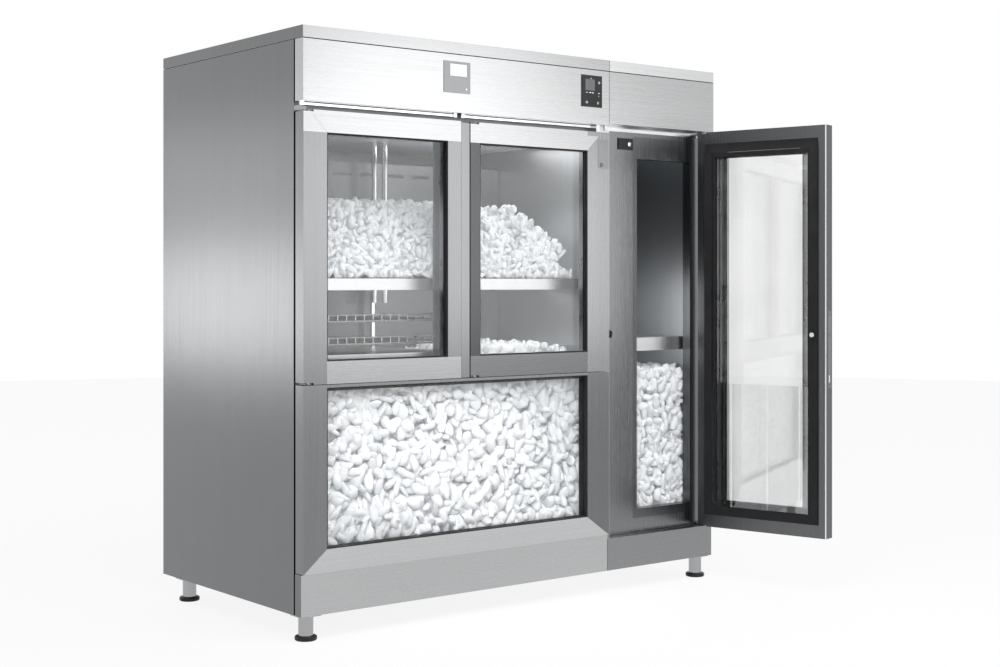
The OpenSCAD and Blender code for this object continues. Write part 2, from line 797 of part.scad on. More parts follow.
module right_door_seals() {
    color("black") {
        leaf_seals(right_win_x, upper_win_z, right_rebate_x, upper_rebate_z, right_win_x, upper_win_z);
        upper_gasket(right_leaf_x);
    }
}

// Fixed frame round the window of the ice bin
module lower_window_frame() {
    color("silver") difference() {
        leaf_frame(lower_frame_x, lower_frame_z, lower_win_x, lower_win_z, lower_rebate_x, lower_rebate_z);
        mitre([lower_frame_x[0], lower_frame_z[0]], [lower_win_x[0], lower_win_z[0]]);
        mitre([lower_win_x[1], lower_win_z[0]], [lower_frame_x[1], lower_frame_z[0]]);
        strike_pocket(lower_frame_x[1]);
    }
}

// Slot that takes the tall door's deadbolt
module strike_pocket(x) {
    block([x - dead_throw - 4, x + over], [dead_y - dead_t/2 - 1, dead_y + dead_t/2 + 1],
        [dead_z - dead_h/2 - 2, dead_z + dead_h/2 + 2]);
}

module lower_window_glass() { color("lightblue", 0.3) leaf_glass(lower_rebate_x, lower_rebate_z); }

module lower_window_seal() {
    color("black") leaf_seals(lower_win_x, lower_win_z, lower_rebate_x, lower_rebate_z, lower_win_x,
        [lower_win_z[0], lower_win_z[1]]);
}

// ---------------------------------------------------------------- tall door

module tall_door_frame() {
    color("silver") swung_open() difference() {
        leaf_frame(tall_leaf_x, tall_leaf_z, tall_win_x, tall_win_z, tall_rebate_x, tall_rebate_z);
        pivot_cuts(tall_pivot_x, tall_leaf_x[1], tall_leaf_z);
        bar_y(turn_x, [-over, door_t + over], turn_z, lock_r + slip);
        block([tall_leaf_x[0] - over, tall_leaf_x[0] + dead_len + 4], grow([dead_y, dead_y], dead_t/2 + slip),
            grow([dead_z, dead_z], dead_h/2 + slip));
        block([tall_leaf_x[0] - over, tall_leaf_x[0] + case_t + slip], case_y, case_z);
    }
}

module tall_door_glass() { color("lightblue", 0.3) swung_open() leaf_glass(tall_rebate_x, tall_rebate_z); }

module tall_door_seals() {
    side = tall_gasket_side;
    color("black") swung_open() {
        leaf_seals(tall_win_x, tall_win_z, tall_rebate_x, tall_rebate_z, tall_view_x, tall_view_z);
        difference() {
            ring(grow(tall_leaf_x, -side), [tall_leaf_z[0] + tall_gasket_low, tall_leaf_z[1] - tall_gasket_top],
                tall_rebate_x, tall_rebate_z, [door_t, frame_y - slip]);
            bar_y(turn_x, [door_t - over, frame_y + over], turn_z, lock_r);
        }
    }
}

case_t = 2;
case_y = [dead_y - 11, dead_y + 11];
case_z = [dead_z - 34, turn_z + 90];

// Face plate of the mortice lock in the tall door's free edge
module lock_case_plate() {
    color("gray") swung_open() difference() {
        block([tall_leaf_x[0], tall_leaf_x[0] + case_t], grow(case_y, -slip), grow(case_z, -slip));
        block([tall_leaf_x[0] - over, tall_leaf_x[0] + case_t + over], grow([dead_y, dead_y], dead_t/2 + slip),
            grow([dead_z, dead_z], dead_h/2 + slip));
        for (z = [case_z[0] + 12, case_z[1] - 12, turn_z])
            translate([tall_leaf_x[0] - over, dead_y, z]) rotate([0, 90, 0]) cylinder(r=3, h=case_t + 2*over);
    }
}

// Clear ribbed panel that keeps the ice off the lower part of the tall door's glass
guard_t = 2;
rib_w = 36;
rib_d = 5;
rib_at = [0.12, 0.45, 0.83];
guard_x = [tall_view_x[0] - 2, tall_rebate_x[1] - 1];
guard_z = [tall_rebate_z[0] + 1, guard_top];
module ice_guard() {
    y0 = door_t + slip;
    ribs = [for (f = rib_at) guard_x[0] + (guard_x[1] - guard_x[0])*f - rib_w/2];
    front = concat([[guard_x[0], y0]], [for (r = ribs, p = [[r, y0], [r + 4, y0 + rib_d],
        [r + rib_w - 4, y0 + rib_d], [r + rib_w, y0]]) p], [[guard_x[1], y0]]);
    back = [for (k = [len(front) - 1:-1:0]) front[k] + [0, guard_t]];
    color("aliceblue", 0.4) swung_open() translate([0, 0, guard_z[0]])
        linear_extrude(guard_z[1] - guard_z[0]) polygon(concat(front, back));
}

turn_r = 9;
turn_neck = frame_y + 4;
turn_out = turn_neck + 16;
// Key barrel that runs through the leaf, with a thumb turn on its inner side
module thumb_turn() {
    grip_r = 2.5;
    color("silver") swung_open() difference() {
        union() {
            bar_y(turn_x, [-1, door_t], turn_z, lock_r);
            bar_y(turn_x, [door_t, turn_neck], turn_z, lock_r - 2);
            bar_y(turn_x, [turn_neck, turn_neck + 8], turn_z, turn_r);
            translate([turn_x, turn_neck + 2, turn_z]) rotate([-90, 0, 0]) linear_extrude(turn_out - turn_neck - 2)
                hull() for (k = [-1, 1]) translate([0, k*(turn_r - grip_r - 0.5)]) circle(grip_r);
        }
        block([turn_x - 0.6, turn_x + 0.6], [-1 - over, 2], [turn_z - 4.5, turn_z + 4.5]);
    }
}

// Bolt that slides out of the tall door's free edge
module deadbolt() {
    color("gainsboro") swung_open() block([tall_leaf_x[0] + 0.5, tall_leaf_x[0] + dead_len],
        grow([dead_y, dead_y], dead_t/2), grow([dead_z, dead_z], dead_h/2));
}

// ---------------------------------------------------------------- lock of the right upper door

module lock_plate() {
    color("gainsboro") difference() {
        block(lock_plate_x, [-1.2, 0], lock_plate_z);
        bar_y(lock_cyl_x, [-1.2 - over, over], lock_cyl_z, lock_r + slip);
    }
}

// Round key barrel with its slot
module lock_cylinder() {
    color("silver") difference() {
        bar_y(lock_cyl_x, [-3, bolt_y - bolt_r - slip], lock_cyl_z, lock_r);
        block([lock_cyl_x - 0.6, lock_cyl_x + 0.6], [-3 - over, 3], [lock_cyl_z - 4.5, lock_cyl_z + 4.5]);
    }
}

module lock_bolt() {
    color("gainsboro") bar_z(lock_cyl_x, bolt_y, bolt_z, bolt_r);
}

// ---------------------------------------------------------------- controls

control_span = [left_w - control_in - control_w, left_w - control_in];
control_rise = [control_z, control_z + control_h];
button_at = [[control_span[0] + 22, control_z + 16], [control_span[1] - 22, control_z + 16],
    [control_span[1] - 16, control_z + control_h - 26]];
bezel_t = 4;
button_out = 1.5;

// Black bezel with a sunk display and three button bores, and the housing behind it
module controller_body() {
    color("black") difference() {
        union() {
            block(control_span, [-bezel_t, 0], control_rise);
            block(grow(control_span, -4), [0, door_t - 6], grow(control_rise, -4));
        }
        block([control_span[0] + 20, control_span[0] + 68], [-bezel_t - over, -bezel_t + 1],
            [control_z + 62, control_z + control_h - 14]);
        for (b = button_at) bar_y(b[0], [-bezel_t - over, bezel_t], b[1], button_r + slip);
    }
}

module button(b) {
    color("dimgray") bar_y(b[0], [-bezel_t - button_out, bezel_t - button_travel - slip], b[1], button_r);
}
module button_left() { button(button_at[0]); }
module button_right() { button(button_at[1]); }
module button_top() { button(button_at[2]); }

// Plain plate on the header
module badge_plate() {
    x = [plate_x, plate_x + plate_w];
    z = [badge_z, badge_z + plate_h];
    color("darkgray") difference() {
        block(x, [-2, 0], z);
        block([x[0] + 28, x[1] - 18], [-2 - over, -1.2], [z[1] - 46, z[1] - 8]);
    }
}

// Door switch of the tall door, sunk into the opening's stile
switch_x = [steel_open_x[0] - 78, steel_open_x[0] - 2];
switch_z = [steel_open_z[1] - 51, steel_open_z[1] - 7];
switch_out = 5;
plunger_r = 9;
plunger_x = switch_x[1] - 18;
plunger_travel = 4;
module switch_pocket() { block(switch_x, [frame_y - over, frame_back - 8], switch_z); }

module switch_box() {
    color("black") difference() {
        block(grow(switch_x, -slip), [frame_y - switch_out, frame_back - 8], grow(switch_z, -slip));
        bar_y(plunger_x, [frame_y - switch_out - over, frame_y + 16], mid(switch_z), plunger_r + slip);
    }
}

// Bright sprung plunger with a domed end
module switch_plunger() {
    y0 = door_t + 1;
    color("gainsboro") translate([plunger_x, y0, mid(switch_z)]) rotate([-90, 0, 0])
        rotate_extrude() polygon(concat([[0, 0]],
            [for (a = [10:10:90]) [plunger_r*sin(a), 3*(1 - cos(a))]],
            [[plunger_r, frame_y + 11 - y0], [0, frame_y + 11 - y0]]));
}

// ---------------------------------------------------------------- inside

// False back walls of both chambers, with slots for the air near their tops
module plenum_wall() {
    top = upper_open_z[1] - 60;
    y = [plenum_y, plenum_y + sheet_t];
    color("lightgray") for (w = [[shelf_x, bin_floor, 9], [right_shelf_x, right_floor, 3]]) difference() {
        block(w[0], y, [w[1], top]);
        for (k = [0:w[2] - 1]) block([w[0][0] + 90 + k*120, w[0][0] + 170 + k*120], grow(y, over),
            [top - 50, top - 38]);
    }
}

// Folded shelf with a deep front lip and shallow side and back flanges
flange_h = 20;
module shelf(x, z_top, lip, y_back) {
    block(x, [shelf_y, y_back], [z_top - 3, z_top]);
    block(x, [shelf_y, shelf_y + 3], [z_top - lip, z_top]);
    block(x, [y_back - 3, y_back], [z_top - flange_h, z_top]);
    for (x0 = [x[0], x[1] - 3]) block([x0, x0 + 3], [shelf_y, y_back], [z_top - flange_h, z_top]);
}

module shelves() {
    color("silver") {
        difference() {
            shelf(shelf_x, shelf_z, shelf_lip, plenum_y - 2);
            for (x = hanger_x) bar_z(x, hanger_y, [shelf_z - over - 3, shelf_z + over], hanger_r + slip);
        }
        shelf(right_shelf_x, right_shelf_z, right_lip, plenum_y - 2);
    }
}

// Hanger tubes of the long shelf, wall ledges of both shelves and the racks' standards
module shelf_supports() {
    ledge_t = 3;
    collar_h = 14;
    color("silver") {
        for (x = hanger_x) {
            bar_z(x, hanger_y, [shelf_z - hanger_low, ceiling_z - deck_t], hanger_r);
            bar_z(x, hanger_y, [shelf_z - 3 - collar_h, shelf_z - 3], hanger_r + 6);
        }
        for (w = [[wall_t, 1, shelf_z], [left_inner, -1, shelf_z], [right_inner, 1, right_shelf_z],
            [right_end, -1, right_shelf_z], [wall_t, 1, rack_high - rod_r + flange_h],
            [wall_t, 1, rack_low - rod_r + flange_h], [wall_t, 1, transom_z[1] + flange_h]])
            ledge(w[0], w[1], w[2] - flange_h - ledge_t, ledge_t);
        for (y = [rack_y[0] + 8, rack_y[1] - 24])
            block([rack_x[1] + slip, rack_x[1] + slip + standard_w], [y, y + 16], [plate_z, shelf_z - 3]);
        for (y = [rack_y[0] + 8, rack_y[1] - 24], z = [rack_high, rack_low])
            block([rack_x[1] - 14, rack_x[1] + slip], [y, y + 16], [z - rod_r - 3, z - rod_r]);
    }
}

// Angle ledge on a side wall; side is 1 where it points to the right
module ledge(x, side, z, t) {
    flat = side > 0 ? [x, x + 16] : [x - 16, x];
    web = side > 0 ? [x, x + t] : [x - t, x];
    block(flat, [shelf_y + 6, plenum_y - 6], [z, z + t]);
    block(web, [shelf_y + 6, plenum_y - 6], [z - 14, z]);
}

// Two wire racks with raised front wires in the left half
module wire_racks() {
    color("silver") for (z = [rack_high, rack_low]) wire_rack(z);
}

module wire_rack(z) {
    $fn = 8;
    pitch = (rack_x[1] - rack_x[0] - 2*rod_r)/(wire_n + 1);
    rise = 22;
    z_wire = z + rod_r + wire_r - 0.8;
    for (y = [rack_y[0] + rod_r, mid(rack_y), rack_y[1] - rod_r]) bar_x(rack_x, y, z, rod_r);
    for (k = [0:wire_n + 1]) {
        x = rack_x[0] + rod_r + k*pitch;
        bar_y(x, rack_y, z_wire, wire_r);
        block(grow([x, x], wire_r), [rack_y[0], rack_y[0] + wire_r], [z_wire, z + rise]);
    }
    bar_x(rack_x, rack_y[0] + rod_r, z + rise, wire_r + 1);
}

// Plate over the left half of the bin, whose front tongue stands on the cross rail
module bin_plate() {
    x = [wall_t + 2, mullion_x + 3];
    y = [frame_back + slip, plenum_y - 2];
    tongue_x = [bay_open_x[0] + slip, post_x[0] - slip];
    rise = [transom_z[1], plate_z];
    color("silver") {
        block(x, y, [plate_z - 3, plate_z]);
        for (x0 = [x[0], x[1] - 3]) block([x0, x0 + 3], y, rise);
        block(tongue_x, [frame_back - 8, y[0] + over], [plate_z - 3, plate_z]);
        block(tongue_x, [frame_back - 8, frame_back - 5], rise);
    }
}

// ---------------------------------------------------------------- ice

// Heap on the long shelf: steep at the front, level, then falling to the right
module ice_on_shelf() {
    x = [shelf_x[0] + ice_gap, shelf_x[1] - ice_gap - 20];
    y = [shelf_y + 7, shelf_y + 7 + heap_d];
    fall = function(px) px < x[0] + 0.62*(x[1] - x[0]) ? 1
        : cos(90*(px - x[0] - 0.62*(x[1] - x[0]))/(0.38*(x[1] - x[0])));
    front = function(py) min(1, 0.3 + 0.7*sin(90*min(1, (py - y[0])/170)));
    color("azure", 0.8) height_solid(x, y, shelf_z, 44, 16,
        function(px, py, i, j) shelf_z + 14 + (heap_h - 22)*fall(px)*front(py) + lump*rough(i, j, 3));
}

// Ice in the bin with its rough face at the window, the mound over its right half, and the
// column in the right section
module ice_in_bins() {
    x = grow(bay_open_x, -ice_gap/2);
    z_top = lower_open_z[1] - ice_gap;
    mound_x = [mullion_x + 3 + ice_gap, x[1]];
    mound_y = [frame_back + ice_gap + 2, plenum_y - ice_gap];
    column_x = [right_inner + ice_gap, right_end - ice_gap];
    color("azure", 0.8) {
        rough_front(x, [frame_y + 0.5, plenum_y - ice_gap], [bin_floor, z_top], 46, 20, 5);
        height_solid(mound_x, mound_y, z_top + slip, 20, 16, function(px, py, i, j)
            z_top + 4 + (mound_h - 10)*min(1, sin(160*(px - mound_x[0] + 40)/(mound_x[1] - mound_x[0] + 90))*1.1)
            + lump*0.5*(1 + rough(i, j, 8)));
        rough_front(column_x, [frame_back + ice_gap, plenum_y - ice_gap],
            [right_floor, right_floor + column_h], 16, 22, 9);
    }
}

// Block of ice with a rough front face
module rough_front(x, y, z, nx, nz, seed) {
    rotate([90, 0, 0]) height_solid(x, z, -y[1], nx, nz,
        function(px, pz, i, j) -y[0] - lump*(1 + rough(i, j, seed)));
}

// ---------------------------------------------------------------- refrigeration

pipe_r = 6;
pipe_hole_r = 9;
bend_r = 20;
pipe_drop = [comp_x + pipe_out, comp_x + pipe_out + pipe_gap];
pipe_drop_y = back_y - 60;

// Hermetic compressor: drawn shell with a domed top, feet plate and terminal box
module compressor() {
    foot_t = 4;
    color("black") translate([comp_at[0], comp_at[1], bay_z]) {
        difference() {
            block([-comp_r - 10, comp_r + 10], [-comp_r - 10, comp_r + 10], [0, foot_t]);
            for (x = [-comp_r, comp_r], y = [-comp_r, comp_r]) translate([x, y, -over]) cylinder(r=5, h=foot_t + 2*over);
        }
        rotate_extrude() polygon(concat([[0, foot_t], [comp_r - 12, foot_t], [comp_r, foot_t + 14],
            [comp_r, comp_h*0.5], [comp_r + 4, comp_h*0.5], [comp_r + 4, comp_h*0.5 + 6], [comp_r, comp_h*0.5 + 6]],
            [for (a = [0:15:90]) [comp_r*cos(a), comp_h + 50*sin(a)]]));
        block([-28, 28], [-comp_r - 26, -comp_r + 10], [40, 96]);
    }
}

// Finned coil: thin plates in a folded casing, with the tubes' ends at both sides
module coil(x, y, z, rows) {
    pitch = (x[1] - x[0])/fin_n;
    tube_r = 5;
    casing_t = 3;
    shroud = 12;
    for (k = [1:fin_n - 1])
        block([x[0] + k*pitch - 0.4, x[0] + k*pitch + 0.4], [y[0] + 2, y[1] - shroud], grow(z, -2));
    for (z0 = [z[0], z[1] - casing_t]) block(grow(x, casing_t), y, [z0, z0 + casing_t]);
    for (x0 = [x[0] - casing_t, x[1]]) block([x0, x0 + casing_t], y, z);
    for (r = [0.5:1:rows], c = [0.25, 0.6], x0 = [x[0] - casing_t - 6, x[1] + casing_t - 1])
        bar_x([x0, x0 + 7], y[0] + (y[1] - y[0])*c, z[0] + (z[1] - z[0])*r/rows, tube_r);
}

// Plate with a round opening and a motor held by four arms
module fan_plate(x, z, y0, centre, r) {
    y1 = y0 + 3;
    difference() {
        block(x, [y0, y1], z);
        bar_y(centre[0], [y0 - over, y1 + over], centre[1], r + 4);
    }
    translate([centre[0], y1, centre[1]]) rotate([-90, 0, 0]) {
        translate([0, 0, 22]) cylinder(r=26, h=40);
        translate([0, 0, 8]) cylinder(r=4, h=16);
        for (a = [45:90:359]) rotate([0, 0, a]) translate([0, -6, 46]) cube([r + 14, 12, 3]);
    }
    for (a = [45:90:359]) translate([centre[0], y0, centre[1]]) rotate([-90, 0, 0]) rotate([0, 0, a])
        translate([r + 7, -5, 1]) cube([5, 10, 49.5]);
}

// Condenser coil on its foot plate with the fan's shroud and motor
module condenser() {
    z = [bay_z + 4, bay_z + 4 + coil_h];
    color("darkgray") {
        coil(coil_x, coil_y, z, 6);
        block(grow(coil_x, 10), [coil_y[0], coil_y[1] + 60], [bay_z, bay_z + 4]);
        fan_plate(grow(coil_x, 3), z, coil_y[1], [fan_x, fan_z], fan_r);
    }
}

module evaporator() {
    color("lightgray") {
        coil(evap_x, [evap_y[0] + evap_front, evap_y[0] + evap_front + coil_d], evap_z, 7);
        for (x0 = [evap_x[0] - 3, evap_x[1]]) block([x0, x0 + 3], evap_y, [evap_z[1] - 40, evap_z[1]]);
        mirror([0, 1, 0]) translate([0, -2*evap_y[0] - evap_front, 0])
            fan_plate(grow(evap_x, 3), evap_z, evap_y[0], [evap_fan_x, evap_fan_z], fan_r);
    }
}

// Hub and pitched blades, turning about a line along Y
module fan(at, y0) {
    translate([at[0], y0, at[1]]) rotate([-90, 0, 0]) {
        difference() {
            cylinder(r=18, h=12);
            translate([0, 0, 2]) cylinder(r=4 + pivot_clear, h=12);
        }
        for (k = [0:blade_n - 1]) rotate([0, 0, k*360/blade_n]) translate([15, 0, 5.5]) rotate([28, 0, 0])
            linear_extrude(1.6, center=true) polygon([[0, -8], [fan_r - 22, -24], [fan_r - 18, -8],
                [fan_r - 18, 12], [fan_r - 26, 22], [0, 8]]);
    }
}

module condenser_fan() { color("dimgray") fan([fan_x, fan_z], coil_y[1] + 5); }

module evaporator_fan() {
    color("dimgray") mirror([0, 1, 0]) translate([0, -2*evap_y[0] - evap_front, 0])
        fan([evap_fan_x, evap_fan_z], evap_y[0] + 5);
}

// Two copper pipes with brazed elbows from the compressor's side, down through the ceiling to
// the evaporator
module refrigerant_pipes() {
    color("peru") for (k = [0, 1]) {
        x = pipe_drop[k];
        z = bay_z + 60 + pipe_gap*k;
        dy = 30 - pipe_gap*k;
        shell_x = comp_at[0] + sqrt(comp_r*comp_r - dy*dy);
        y = comp_at[1] + dy;
        bar_x([shell_x - 4, x - bend_r + over], y, z, pipe_r);
        translate([x - bend_r, y + bend_r, z]) rotate([0, 0, -90]) elbow();
        bar_y(x, [y + bend_r - over, pipe_drop_y - bend_r + over], z, pipe_r);
        translate([x, pipe_drop_y - bend_r, z - bend_r]) rotate([90, 0, 90]) elbow();
        bar_z(x, pipe_drop_y, [evap_z[1] + slip, z - bend_r + over], pipe_r);
    }
}

// Quarter bend, slightly thicker than the pipes that end in it
module elbow() { rotate_extrude(angle=90) translate([bend_r, 0]) circle(pipe_r + 1); }

// Cable gland in the back wall: flange, hexagon and through bore for the supply cable
module cable_gland() {
    color("black") difference() {
        union() {
            bar_y(gland_at[0], [back_y, total_d], gland_at[1], gland_r + 4 - slip);
            bar_y(gland_at[0], [total_d, total_d + gland_flange], gland_at[1], gland_r + 9);
            translate([gland_at[0], total_d + gland_flange, gland_at[1]]) rotate([-90, 0, 0]) cylinder(r=gland_r + 6, h=gland_nut, $fn=6);
        }
        bar_y(gland_at[0], [back_y - over, total_d + gland_flange + gland_nut + over], gland_at[1], gland_r);
    }
}

// ---------------------------------------------------------------- legs

leg_at = [for (x = [leg_x, total_w - leg_x], y = [leg_y, total_d - leg_back]) [x, y]];

module legs() {
    plate_t = 5;
    color("gainsboro") for (p = leg_at) {
        bar_z(p[0], p[1], [pad_h - 4, foot_space - plate_t], leg_r);
        block(grow([p[0], p[0]], leg_r + 14), grow([p[1], p[1]], leg_r + 10), [foot_space - plate_t, foot_space]);
    }
}

// Round black pads with a rolled edge, each with a recess that takes the leg's tube
module foot_pads() {
    color("black") for (p = leg_at) translate([p[0], p[1], 0]) rotate_extrude() polygon(concat(
        [[0, 0], [pad_r - 3, 0], [pad_r, 3]],
        [for (a = [0:15:75]) [pad_r - 5 + 5*cos(a), pad_h - 6 + 5*sin(a)]],
        [[leg_r + 1 + slip, pad_h], [leg_r + slip, pad_h - 1], [leg_r + slip, pad_h - 4], [0, pad_h - 4]]));
}

// ---------------------------------------------------------------- what is drawn

on_floor() side_panel_left();
on_floor() side_panel_right();
on_floor() partition_panels();
on_floor() back_panels();
on_floor() insulated_decks();
on_floor() base_frame();
on_floor() top_caps();
on_floor() header_left();
on_floor() header_right();
on_floor() plinths();
on_floor() front_frame_left();
on_floor() front_frame_right();
on_floor() opening_profile();
on_floor() panel_seals();
on_floor() mullion_strip();
on_floor() head_rails();
on_floor() pivot_brackets();
on_floor() pivot_pins();
on_floor() lower_window_frame();
on_floor() lower_window_glass();
on_floor() lower_window_seal();
on_floor() plenum_wall();
on_floor() shelves();
on_floor() shelf_supports();
on_floor() wire_racks();
on_floor() bin_plate();
on_floor() ice_on_shelf();
on_floor() ice_in_bins();
on_floor() badge_plate();
on_floor() controller_body();
on_floor() button_left();
on_floor() button_right();
on_floor() button_top();
on_floor() switch_box();
on_floor() switch_plunger();
on_floor() compressor();
on_floor() condenser();
on_floor() condenser_fan();
on_floor() evaporator();
on_floor() evaporator_fan();
on_floor() refrigerant_pipes();
on_floor() cable_gland();
on_floor() legs();
on_floor() foot_pads();
on_floor() left_door_frame();
on_floor() left_door_glass();
on_floor() left_door_seals();
on_floor() right_door_frame();
on_floor() right_door_glass();
on_floor() right_door_seals();
on_floor() lock_plate();
on_floor() lock_cylinder();
on_floor() lock_bolt();
on_floor() tall_door_frame();
on_floor() tall_door_glass();
on_floor() tall_door_seals();
on_floor() lock_case_plate();
on_floor() ice_guard();
on_floor() thumb_turn();
on_floor() deadbolt();
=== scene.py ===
# %% [markdown]
# # A brushed-steel freezer full of ice
# The freezer's bodies, doors and joints were made as a CAD model. They come in here as a fixed
# frame, and Blender gives each of them the surface of the real thing: brushed steel with crisp
# bent edges, clear panes, soft black seals and loose ice. We start by loading that frame.

# %% Load the CAD frame
import bisect
import json
import math
import random

import bpy
from mathutils import Euler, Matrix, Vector


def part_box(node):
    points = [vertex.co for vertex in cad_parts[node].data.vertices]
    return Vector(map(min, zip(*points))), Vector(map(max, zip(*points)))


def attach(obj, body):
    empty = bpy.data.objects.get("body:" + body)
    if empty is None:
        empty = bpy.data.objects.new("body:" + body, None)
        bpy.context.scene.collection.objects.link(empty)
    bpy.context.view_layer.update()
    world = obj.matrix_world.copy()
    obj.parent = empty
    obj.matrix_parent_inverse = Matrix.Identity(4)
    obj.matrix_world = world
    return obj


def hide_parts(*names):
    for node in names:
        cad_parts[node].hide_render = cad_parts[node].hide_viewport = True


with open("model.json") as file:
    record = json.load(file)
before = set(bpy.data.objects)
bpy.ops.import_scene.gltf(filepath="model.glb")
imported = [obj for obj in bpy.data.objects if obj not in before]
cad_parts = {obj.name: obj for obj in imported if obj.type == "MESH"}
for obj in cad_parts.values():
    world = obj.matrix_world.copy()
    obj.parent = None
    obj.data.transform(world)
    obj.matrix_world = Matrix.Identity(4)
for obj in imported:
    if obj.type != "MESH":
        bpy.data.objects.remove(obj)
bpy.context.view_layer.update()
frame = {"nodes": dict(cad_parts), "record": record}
nodes = frame["nodes"]
scene = bpy.context.scene

# %% [markdown]
# The cabinet is easiest to describe from its own left front corner: X to the right, Y from the
# door faces inwards, Z up, all in millimetres. The frame's origin lies in the middle of the
# footprint, so one small function turns the first into the second.

# %% Cabinet coordinates
MM = 0.001
DOOR_PLANE = 58 * MM  # the side panels start this far behind the door faces
panel_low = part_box("side_panel_left")[0]
corner = Vector((panel_low[0], panel_low[1] - DOOR_PLANE, 0))


def at(x, y, z):
    """A point given in cabinet millimetres, in the frame's metres."""
    return corner + Vector((x, y, z)) * MM


print("left front corner at", tuple(round(v, 4) for v in corner))

# %% [markdown]
# The camera stands in front of the cabinet and to its left, at chest height, and level. A level
# camera keeps all upright edges upright. The lens is shifted down a little, as on a view camera,
# to bring the feet into the picture without tilting.

# %% Camera
PICTURE_WIDTH, PICTURE_HEIGHT = 1000, 667
FOCAL_PIXELS = 1569.0
HORIZON_ROW = 282.06
SENSOR_WIDTH = 36.0
CAMERA_TURN = -38.368  # degrees, to the right of straight on
camera_data = bpy.data.cameras.new("camera")
camera = bpy.data.objects.new("camera", camera_data)
scene.collection.objects.link(camera)
camera_data.sensor_width = SENSOR_WIDTH
camera_data.lens = FOCAL_PIXELS / PICTURE_WIDTH * SENSOR_WIDTH
camera_data.shift_y = (HORIZON_ROW - PICTURE_HEIGHT / 2) / PICTURE_WIDTH
camera.location = at(-2653, -4379, 1174.8)
camera.rotation_euler = Euler((math.radians(90), 0, math.radians(CAMERA_TURN)))
scene.camera = camera
print("lens", round(camera_data.lens, 2), "mm, shift", round(camera_data.shift_y, 4))

# %% [markdown]
# Helpers for modelling. Everything new is made with the tools that one would click by hand: a
# primitive at its size and place, edit mode operators, then modifiers that are applied. The
# frame's nodes arrive selected, so the first helper lets go of everything.


# %% Selecting and making pieces
def deselect_all():
    if bpy.context.object and bpy.context.object.mode != "OBJECT":
        bpy.ops.object.mode_set(mode="OBJECT")
    bpy.ops.object.select_all(action="DESELECT")


def take(obj):
    """Makes obj the only selected and active object."""
    deselect_all()
    obj.select_set(True)
    bpy.context.view_layer.objects.active = obj
    return obj


def settle(obj, name):
    """Names a piece and puts its place into its mesh, so that the object sits at the origin."""
    take(obj)
    bpy.ops.object.transform_apply(location=True, rotation=True, scale=True)
    obj.name = name
    obj.data.name = name
    return obj


def apply_modifiers(obj):
    take(obj)
    for modifier in list(obj.modifiers):
        bpy.ops.object.modifier_apply(modifier=modifier.name)
    return obj


def dress(obj, material):
    obj.data.materials.clear()
    obj.data.materials.append(material)
    return obj


def smooth(obj, degrees=30):
    take(obj)
    bpy.ops.object.shade_smooth_by_angle(angle=math.radians(degrees))
    return obj


def join(parts, name):
    """Joins several pieces into one mesh."""
    deselect_all()
    for part in parts:
        part.select_set(True)
    bpy.context.view_layer.objects.active = parts[0]
    bpy.ops.object.join()
    return settle(bpy.context.object, name)


def box_piece(low, high, bevel=0.0008, segments=2):
    """A block between two cabinet corners, with its edges broken as a workshop does it."""
    a, b = at(*low), at(*high)
    deselect_all()
    bpy.ops.mesh.primitive_cube_add(size=1, location=(a + b) / 2)
    block = bpy.context.object
    block.scale = b - a
    settle(block, "block")
    if bevel:
        bpy.ops.object.mode_set(mode="EDIT")
        bpy.ops.mesh.select_all(action="SELECT")
        bpy.ops.mesh.bevel(offset=bevel, segments=segments, affect="EDGES")
        bpy.ops.object.mode_set(mode="OBJECT")
    return block


def rod_piece(start, end, radius, sides=16, bevel=0.0):
    """A round bar between two cabinet points, with its ends broken."""
    a, b = at(*start), at(*end)
    deselect_all()
    bpy.ops.mesh.primitive_cylinder_add(
        vertices=sides, radius=radius, depth=(b - a).length, location=(a + b) / 2,
        rotation=(b - a).to_track_quat("Z", "Y").to_euler())
    rod = settle(bpy.context.object, "rod")
    if bevel:
        modifier = rod.modifiers.new("bevel", "BEVEL")
        modifier.width, modifier.segments = bevel, 2
        modifier.limit_method, modifier.angle_limit = "ANGLE", math.radians(50)
        apply_modifiers(rod)
    return rod


# %% [markdown]
# Folded sheet steel never has a knife edge: each bend has a small radius, which catches a thin
# line of light. The CAD panels are sharp, so we copy a panel's mesh, merge its loose triangles,
# scribe the lines where two finishes meet, bevel every real edge and let the copy stand in for
# the panel.


# %% Softening the edges of a panel
def body_of(node):
    """The CAD body that a node belongs to."""
    bodies = frame["record"]["behaviour"]["bodies"]
    return next(body for body, members in bodies.items() if node in members)


